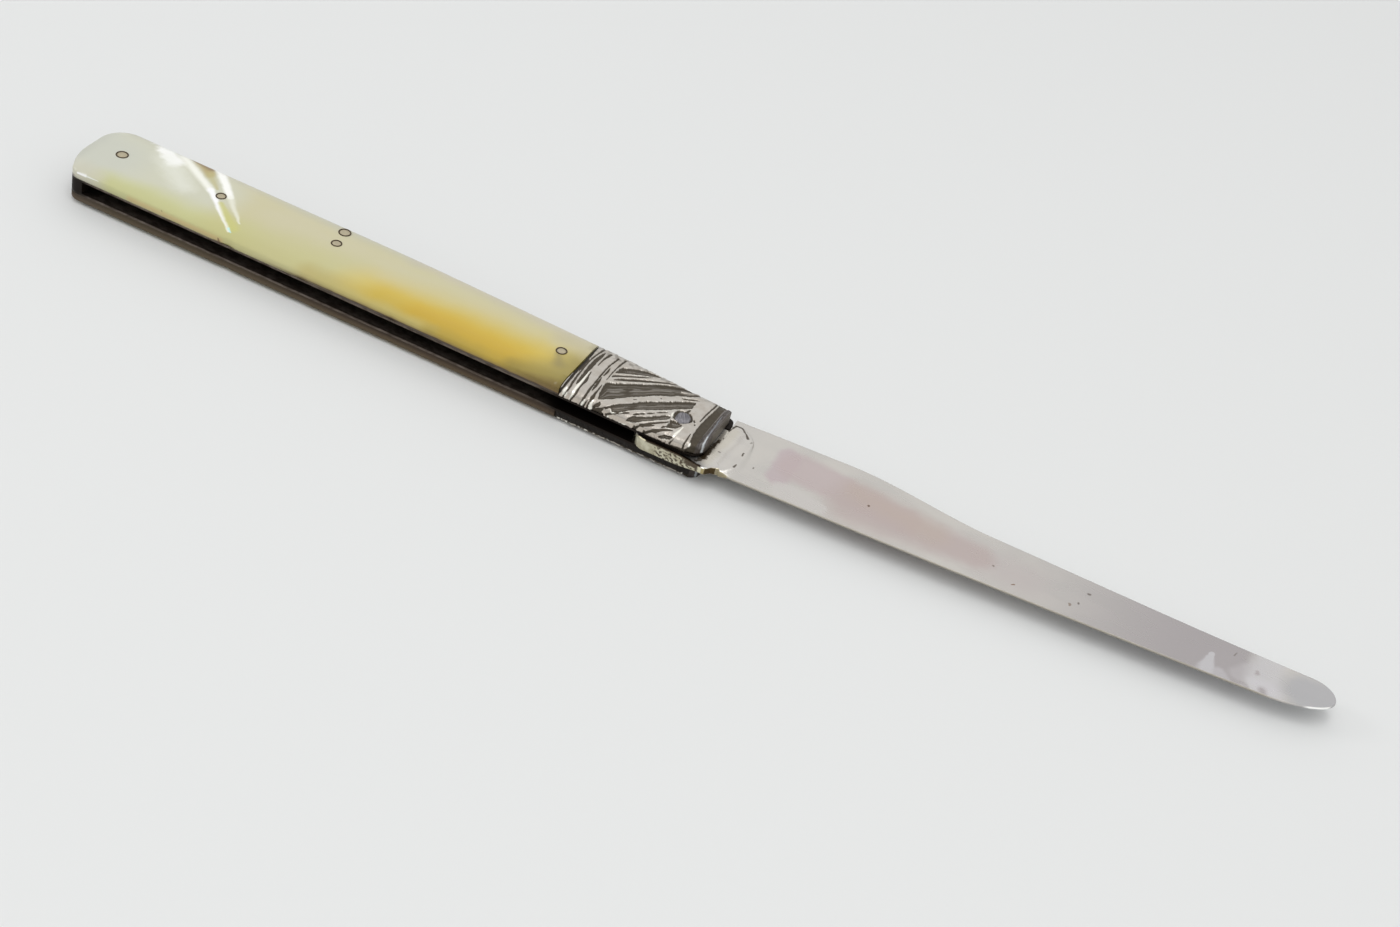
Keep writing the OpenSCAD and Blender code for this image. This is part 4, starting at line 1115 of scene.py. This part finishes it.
def bladeFinish():
    f = Finish("bladePolish")
    place = f.ragged(0.5, 1.1)
    fine = f.ragged(2.2, 0.25)
    tone = f.noise(0.25, 4, (0.6, 1.4, 1))
    colour = f.mix(f.ramp(tone, 0.3, 0.7), srgb(203, 199, 194), srgb(197, 194, 190))
    # darker towards the front, up to a pale band near the tip
    pushed = f.axes(place)["X"]
    dusk = f.times(f.ramp(pushed, 38.5, 68.5), f.ramp(pushed, 73.6, 76.0, (1, 0)))
    colour = f.mix(dusk, colour, srgb(172, 167, 168))
    colour = f.marks(colour, place, [
        ((13.4, 5), (13.6, 0.4), (1.5, 1.5), 0.35, 0.8, (192, 178, 181)),
        ((15.5, 3.6), (30, 2.9), (2.9, 2.2), 0.3, 0.8, (192, 178, 178)),
        ((37, 2.5), (46, 2.1), (2.2, 2.6), 1.0, 0.6, (191, 182, 181)),
        ((24, 1.7), (40.0, 2.5), (3.8, 2.0), 0.6, 0.85, (188, 175, 172)),
        ((23, 4.2), (34, 3.0), (1.6, 1.8), 0.9, 0.45, (190, 175, 164)),
        ((15, -1.4), (20, -1.6), (1.5, 1.2), 0.25, 0.8, (203, 199, 196)),
        ((69.9, 3.9), (70.0, 0.8), (0.35, 1.0), 0.4, 0.9, (198, 196, 199)),
        ((71.6, 1.3), (72.2, 0.6), (0.9, 1.0), 0.5, 0.7, (193, 190, 193)),
        ((73.6, 2.6), (75.4, 4.6), (0.9, 1.2), 0.6, 0.6, (190, 186, 188)),
        ((76.8, 7.4), (77.0, 1.2), (1.8, 2.3), 0.55, 0.8, (202, 200, 202)),
        ((75.6, 2.4), (78.0, 2.4), (0.8, 1.4), 0.8, 0.45, (210, 207, 212)),
        ((74.4, 1.4), (75.4, 1.0), (0.35, 0.25), 0.9, 0.55, (164, 158, 160)),
        ((77.0, 1.8), (77.1, 1.5), (0.45, 0.5), 0.9, 0.7, (160, 152, 152)),
        ((75.7, 4.5), (75.8, 4.1), (0.2, 0.25), 0.9, 0.6, (162, 152, 152)),
        ((82.2, 4.5), (87, 5.5), (3.2, 3.2), 0.4, 0.85, (178, 178, 181)),
        # pale bands across the tang face; the last three are painted highlight, shade and
        # highlight where the grind curves
        ((5.6, 4.4), (5.0, -2.8), (0.9, 0.8), 0.6, 0.7, (204, 198, 186)),
        ((6.6, 4.6), (6.2, -2.8), (0.3, 0.3), 1.0, 0.3, (212, 208, 200)),
        ((7.1, 4.6), (6.7, -2.6), (0.2, 0.2), 1.0, 0.25, (182, 175, 168)),
        ((7.8, 4.2), (7.5, -2.4), (0.3, 0.3), 1.0, 0.3, (210, 206, 200)),
    ])
    dark = (66, 56, 44)
    colour = f.marks(colour, f.ragged(3.2, 0.8), [
        ((4.9, 1.8), (4.6, -2.4), (0.16, 0.42), 0.3, 0.95, (72, 60, 44)),
        ((4.6, -2.4), (4.1, -3.6), (0.42, 0.2), 0.3, 0.9, (72, 60, 44)),
    ])
    colour = f.marks(colour, fine, [
        # the first four: dirt with painted shade along the tang's top beside the bolster, and two
        # painted glints
        ((-4.9, -4.1), (3.4, -4.02), (0.3, 0.24), 0.5, 0.9, (70, 60, 50)),
        ((5.35, -4.15), (6.3, -3.85), (0.14, 0.1), 0.5, 1.0, (255, 255, 250)),
        ((-2.5, -4.4), (4.7, -4.25), (0.34, 0.34), 0.3, 1.0, (54, 45, 36)),
        ((-3.7, -4.2), (-2.7, -4.4), (0.1, 0.12), 0.6, 0.9, (240, 232, 200)),
        ((5.05, 4.2), (5.45, 5.6), (0.1, 0.14), 0.5, 0.9, dark),
        ((5.45, 5.8), (6.3, 5.85), (0.18, 0.14), 0.5, 0.9, dark),
        ((6.3, 5.85), (7.2, 5.0), (0.13, 0.09), 0.5, 0.85, dark),
        ((7.2, 5.0), (7.7, 4.35), (0.1, 0.2), 0.5, 0.9, dark),
        ((8.47, 1.25), (8.5, 0.7), (0.12, 0.1), 0.5, 0.85, dark),
        ((8.6, -1.35), (8.5, -1.8), (0.08, 0.13), 0.5, 0.85, dark),
        ((8.4, 3.9), (8.35, 3.7), (0.12, 0.1), 0.8, 0.5, dark),
        ((5.8, -0.4), (5.9, -0.42), (0.12, 0.12), 0.6, 0.7, dark),
        ((10.4, 0.2), (10.45, 0.05), (0.1, 0.1), 0.6, 0.6, dark),
        ((25.2, 2.7), (25.25, 2.6), (0.14, 0.14), 0.5, 0.85, (96, 70, 50)),
        ((42.2, 2.1), (42.3, 2.0), (0.14, 0.1), 0.6, 0.6, (110, 96, 84)),
        ((45.2, 0.3), (45.5, 0.5), (0.08, 0.1), 0.5, 0.8, (120, 84, 56)),
        ((53.9, 4.6), (54.1, 4.65), (0.16, 0.14), 0.5, 0.75, (92, 80, 72)),
        ((53.3, 2.3), (53.35, 2.2), (0.14, 0.12), 0.5, 0.75, (92, 80, 72)),
        ((52.4, 1.5), (52.45, 1.3), (0.2, 0.16), 0.5, 0.6, (120, 96, 72)),
        ((72.5, 5.4), (72.7, 6.1), (0.1, 0.05), 0.5, 0.6, (110, 100, 92)),
    ])
    colour, _ = f.speckle(colour, 0.9, 0.07, 0.45, (110, 98, 88))
    # the tang's near flank is brassy, with brown pits, and its corners catch the light
    flank, pit = f.attribute("flank"), f.attribute("pit")
    x, _, z = f.axes(f.place)
    onTang = f.times(flank, f.math("LESS_THAN", x, 8.4))
    brass = f.mix(f.ramp(f.noise(1.1, 3), 0.35, 0.65), srgb(214, 210, 188), srgb(188, 182, 158))
    colour = f.mix(onTang, colour, brass)
    for start, end, tint in blade["facets"]:
        inside = f.times(f.ramp(x, start - 0.08, start + 0.08),
                         f.ramp(x, end - 0.08, end + 0.08, (1, 0)))
        colour = f.mix(f.times(inside, onTang), colour, srgb(*tint))
    # dirt and painted shade under the bolster
    dirtAndShade = f.times(f.ramp(x, -3.0, -2.2), f.ramp(x, 4.7, 5.1, (1, 0)))
    dirtAndShade = f.times(f.times(dirtAndShade, f.ramp(z, 3.42, 3.58)), onTang)
    colour = f.mix(dirtAndShade, colour, srgb(62, 52, 42))
    # the cutting edge is a dull, narrow land, which catches the light round the tip
    onEdge = f.math("SUBTRACT", flank, onTang)
    dull = f.times(onEdge, f.ramp(x, 76, 82, (1, 0.2)))
    colour = f.mix(dull, colour, srgb(162, 157, 147))
    tipGlint = f.times(f.ramp(x, 81.8, 82.8), f.ramp(x, 84.7, 85.2, (1, 0)))
    colour = f.mix(f.times(tipGlint, onEdge), colour, srgb(255, 255, 253))
    colour = f.mix(pit, colour, srgb(82, 70, 54))
    worn = f.math("MAXIMUM", dirtAndShade, dull)
    rough = f.blend(worn, f.blend(f.ramp(tone, 0.3, 0.7), 0.2, 0.3), 0.6)
    f.set(colour=colour, metal=f.blend(f.math("MAXIMUM", pit, dirtAndShade), 1.0, 0.3), rough=rough)
    scratches = f.times(f.noise(1.4, 2, (0.4, 14, 1)), 0.3)
    f.bump(f.math("ADD", scratches, f.noise(0.3, 3)), 0.02, 0.25)
    return f.material


bladePolish = bladeFinish()
bladePiece = makeBlade(bladePolish)
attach(bladePiece, "blade")
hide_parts("blade")
print("blade done")


# Pins: heads and the dark rings round them, set on points by Geometry Nodes
scalePins = [(-18.4, 2.6), (-52.5, 3.85), (-69.7, 2.95)]
pins = {
    "headSides": 40, "ringSides": 36, "wireSides": 8, "dome": 0.035, "proud": 0.02,
    "ringWire": 0.1, "ringGap": 0.02, "unevenness": 0.04,
    # piece, CAD node, places, radius, whether the rear and front ends show, seed
    "sets": [
        ("springPin", "spring_pin", [(-53.0, 6.7)], 0.75, (True, True), 3),
        ("buttPin", "butt_pin", [(-84.85, 2.35)], 0.75, (True, True), 5),
        ("frontScalePins", "front_scale_pins", scalePins, 0.65, (False, True), 7),
        ("rearScalePins", "rear_scale_pins", scalePins, 0.65, (True, False), 9),
    ],
}


class PointTree(Group):
    # A Geometry Nodes tree that sets a shape on every point
    def __init__(self, name, inputs):
        shared = [("Unevenness", "Float", 0.0), ("Seed", "Int", 1), ("Material", "Material")]
        super().__init__(name, "GeometryNodeTree", [("Geometry", "Geometry")] + inputs + shared,
                         [("Geometry", "Geometry")])

    def lifted(self, geometry, height):
        offset = self.add("ShaderNodeCombineXYZ", {"Z": height}).outputs[0]
        inputs = {"Geometry": geometry, "Offset": offset}
        return self.add("GeometryNodeSetPosition", inputs).outputs[0]

    def finish(self, shape):
        # each copy is turned and stretched a little, as hand work is
        g = self.given
        turn = self.add("FunctionNodeRandomValue", {"Max": 6.283, "Seed": g["Seed"]},
                        data_type="FLOAT")
        tilt = self.add("ShaderNodeCombineXYZ", {"Z": turn.outputs[1]})
        low, high = [self.math(way, 1.0, g["Unevenness"]) for way in ("SUBTRACT", "ADD")]
        size = self.add("FunctionNodeRandomValue", {2: low, 3: high, "Seed": g["Seed"]},
                        data_type="FLOAT")
        scale = self.add("ShaderNodeCombineXYZ", {"X": size.outputs[1], "Y": 1.0, "Z": 1.0})
        copies = self.add("GeometryNodeInstanceOnPoints", {
            "Points": g["Geometry"], "Instance": shape,
            "Rotation": tilt.outputs[0], "Scale": scale.outputs[0]})
        real = self.add("GeometryNodeRealizeInstances", {"Geometry": copies.outputs[0]})
        paint = self.add("GeometryNodeSetMaterial", {"Geometry": real.outputs[0],
                                                     "Material": g["Material"]})
        return self.give(Geometry=paint.outputs[0])


def pinTree():
    t = PointTree("pinBodies", [("Radius", "Float", 0.0007), ("Bottom", "Float", 0.0),
                                ("Top", "Float", 0.005), ("Dome", "Float", 0.00003)])
    g = t.given
    rod = t.add("GeometryNodeMeshCylinder", {
        "Radius": g["Radius"], "Depth": t.math("SUBTRACT", g["Top"], g["Bottom"]),
        "Vertices": pins["headSides"], "Side Segments": 2, "Fill Segments": 4})
    x, y, z = t.axes(t.add("GeometryNodeInputPosition").outputs[0])
    fromAxis = t.math("POWER", t.math("ADD", t.times(x, x), t.times(y, y)), 0.5)
    reach = t.math("DIVIDE", fromAxis, g["Radius"])
    swell = t.times(t.math("SUBTRACT", 1.0, t.times(reach, reach)), g["Dome"])
    domed = t.lifted(rod.outputs["Mesh"], t.times(swell, t.math("SIGN", z)))
    return t.finish(t.lifted(domed, t.times(t.math("ADD", g["Top"], g["Bottom"]), 0.5)))


def ringTree():
    t = PointTree("pinRings", [("Radius", "Float", 0.0007), ("Wire", "Float", 0.00008),
                               ("Level", "Float", 0.005)])
    path, wire = [t.add("GeometryNodeCurvePrimitiveCircle",
                        {"Resolution": pins[sides], "Radius": t.given[label]}).outputs[0]
                  for sides, label in (("ringSides", "Radius"), ("wireSides", "Wire"))]
    hoop = t.add("GeometryNodeCurveToMesh", {"Curve": path, 1: wire})
    return t.finish(t.lifted(hoop.outputs[0], t.given["Level"]))


def runTree(name, places, tree, values):
    data = bpy.data.meshes.new(name)
    data.from_pydata([(x * mm, y * mm, 0) for x, y in places], [], [])
    piece = bpy.data.objects.new(name, data)
    scene.collection.objects.link(piece)
    modifier = piece.modifiers.new(name, "NODES")
    modifier.node_group = tree
    for item in tree.interface.items_tree:
        if item.in_out == "INPUT" and item.name in values:
            modifier[item.identifier] = values[item.name]
    shaped = piece.evaluated_get(bpy.context.evaluated_depsgraph_get())
    result = bpy.data.meshes.new_from_object(shaped)
    piece.modifiers.remove(modifier)
    piece.data = result
    result.shade_smooth()
    return piece


def pinFinish(name, light, dark, metal, rough):
    f = Finish(name)
    tone = f.noise(3.0, 4)
    f.set(colour=f.mix(tone, srgb(*light), srgb(*dark)), metal=metal, rough=rough)
    f.bump(f.noise(6, 3, (1, 5, 1)), 0.02, 0.5)
    return f.material


pinGrey = pinFinish("pinGrey", (200, 190, 164), (170, 160, 136), 0.9, 0.4)
ringDirt = pinFinish("ringDirt", (46, 36, 24), (80, 64, 38), 0.0, 0.7)
pinBodies, pinRings = pinTree(), ringTree()

for name, node, places, radius, shows, seed in pins["sets"]:
    low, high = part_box(node)
    proud = pins["proud"] * mm
    piece = runTree(name, places, pinBodies, {
        "Radius": radius * mm, "Bottom": low.z - (proud if shows[0] else 0),
        "Top": high.z + (proud if shows[1] else 0), "Dome": pins["dome"] * mm,
        "Unevenness": pins["unevenness"], "Seed": seed, "Material": pinGrey})
    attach(piece, "handle")
    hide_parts(node)
    for shown, level, end in zip(shows, (low.z, high.z), ("Rear", "Front")):
        if not shown:
            continue
        ring = runTree(name + end + "Ring", places, pinRings, {
            "Radius": (radius + pins["ringGap"]) * mm, "Wire": pins["ringWire"] * mm,
            "Level": level, "Unevenness": pins["unevenness"], "Seed": seed, "Material": ringDirt})
        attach(ring, "handle")
print("pins done")


# Pivot pin with filed heads
pivot = {
    # height above the end and share of the radius, from the end to the middle
    "levels": [(-0.1, 0.0), (-0.1, 0.6), (-0.07, 0.84), (0.0, 0.93), (0.3, 0.95), (2.8, 1.0)],
    # count, size and phase of the waves round the pin
    "waves": [(3, 0.035, 0.5), (5, 0.03, 0.0)],
    "sides": 48, "headShift": 0.5, "headHeight": 0.2, "least": 0.02,
}


def makePivot(material):
    p = pivot
    w = 2 * math.pi * np.arange(p["sides"]) / p["sides"]
    radius = 1 + sum(size * np.cos(count * w + phase) for count, size, phase in p["waves"])
    rows = [(level, level, share) for level, share in p["levels"]]
    rows += [(handle["top"] - level, level, share) for level, share in p["levels"][-2::-1]]
    points = []
    for z, level, share in rows:
        r = np.maximum(share * radius, p["least"])
        shift = p["headShift"] if level < p["headHeight"] else 0.0
        points.append(np.column_stack([r * np.cos(w), r * np.sin(w) + shift, np.full(len(w), z)]))
    return addMesh("pivotPin", np.concatenate(points), cappedTube(len(rows), p["sides"]),
                   material, 2)


def pivotFinish():
    f = Finish("pivotFiled", turn=-28)
    lines = f.noise(1.6, 3, (7, 0.5, 1))
    colour = f.mix(f.ramp(lines, 0.35, 0.65), srgb(104, 102, 108), srgb(146, 144, 148))
    f.set(colour=colour, metal=1.0, rough=0.42)
    f.bump(lines, 0.04, 0.5)
    return f.material


pivotPiece = makePivot(pivotFinish())
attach(pivotPiece, "handle")
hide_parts("pivot_pin")


# Liners and back spring keep their CAD solids
def darkFinish(name, low, high, ends, rough, metal, specular=0.5):
    # ends: painted shade at the butt and at the bolsters
    f = Finish(name)
    tone = f.noise(0.8, 5, (1, 1.5, 3))
    colour = f.mix(f.ramp(tone, 0.35, 0.65), srgb(*low), srgb(*high))
    colour, _ = f.speckle(colour, 1.4, 0.25, 0.5, (44, 34, 26))
    x = f.axes(f.place)["X"]
    # painted shade towards the butt and the bolsters
    shadeAtEnds = f.math("MAXIMUM", f.ramp(x, -19, -15), f.ramp(x, -87, -84, (1, 0)))
    colour = f.mix(shadeAtEnds, colour, srgb(*ends))
    f.set(colour=colour, metal=metal, rough=rough, specular=specular)
    f.bump(f.noise(2.5, 4), 0.04, 0.5)
    return f.material


def paint(node, material):
    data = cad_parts[node].data
    data.materials.clear()
    data.materials.append(material)


linerMetal = darkFinish("linerMetal", (78, 68, 60), (112, 102, 94), (38, 32, 28), 0.4, 0.85)
springMetal = darkFinish("springMetal", (26, 22, 19), (44, 38, 32), (26, 20, 16), 0.6, 0.1,
                         0.15)
paint("front_liner", linerMetal)
paint("rear_liner", linerMetal)
paint("backspring", springMetal)
print("liners and spring done")
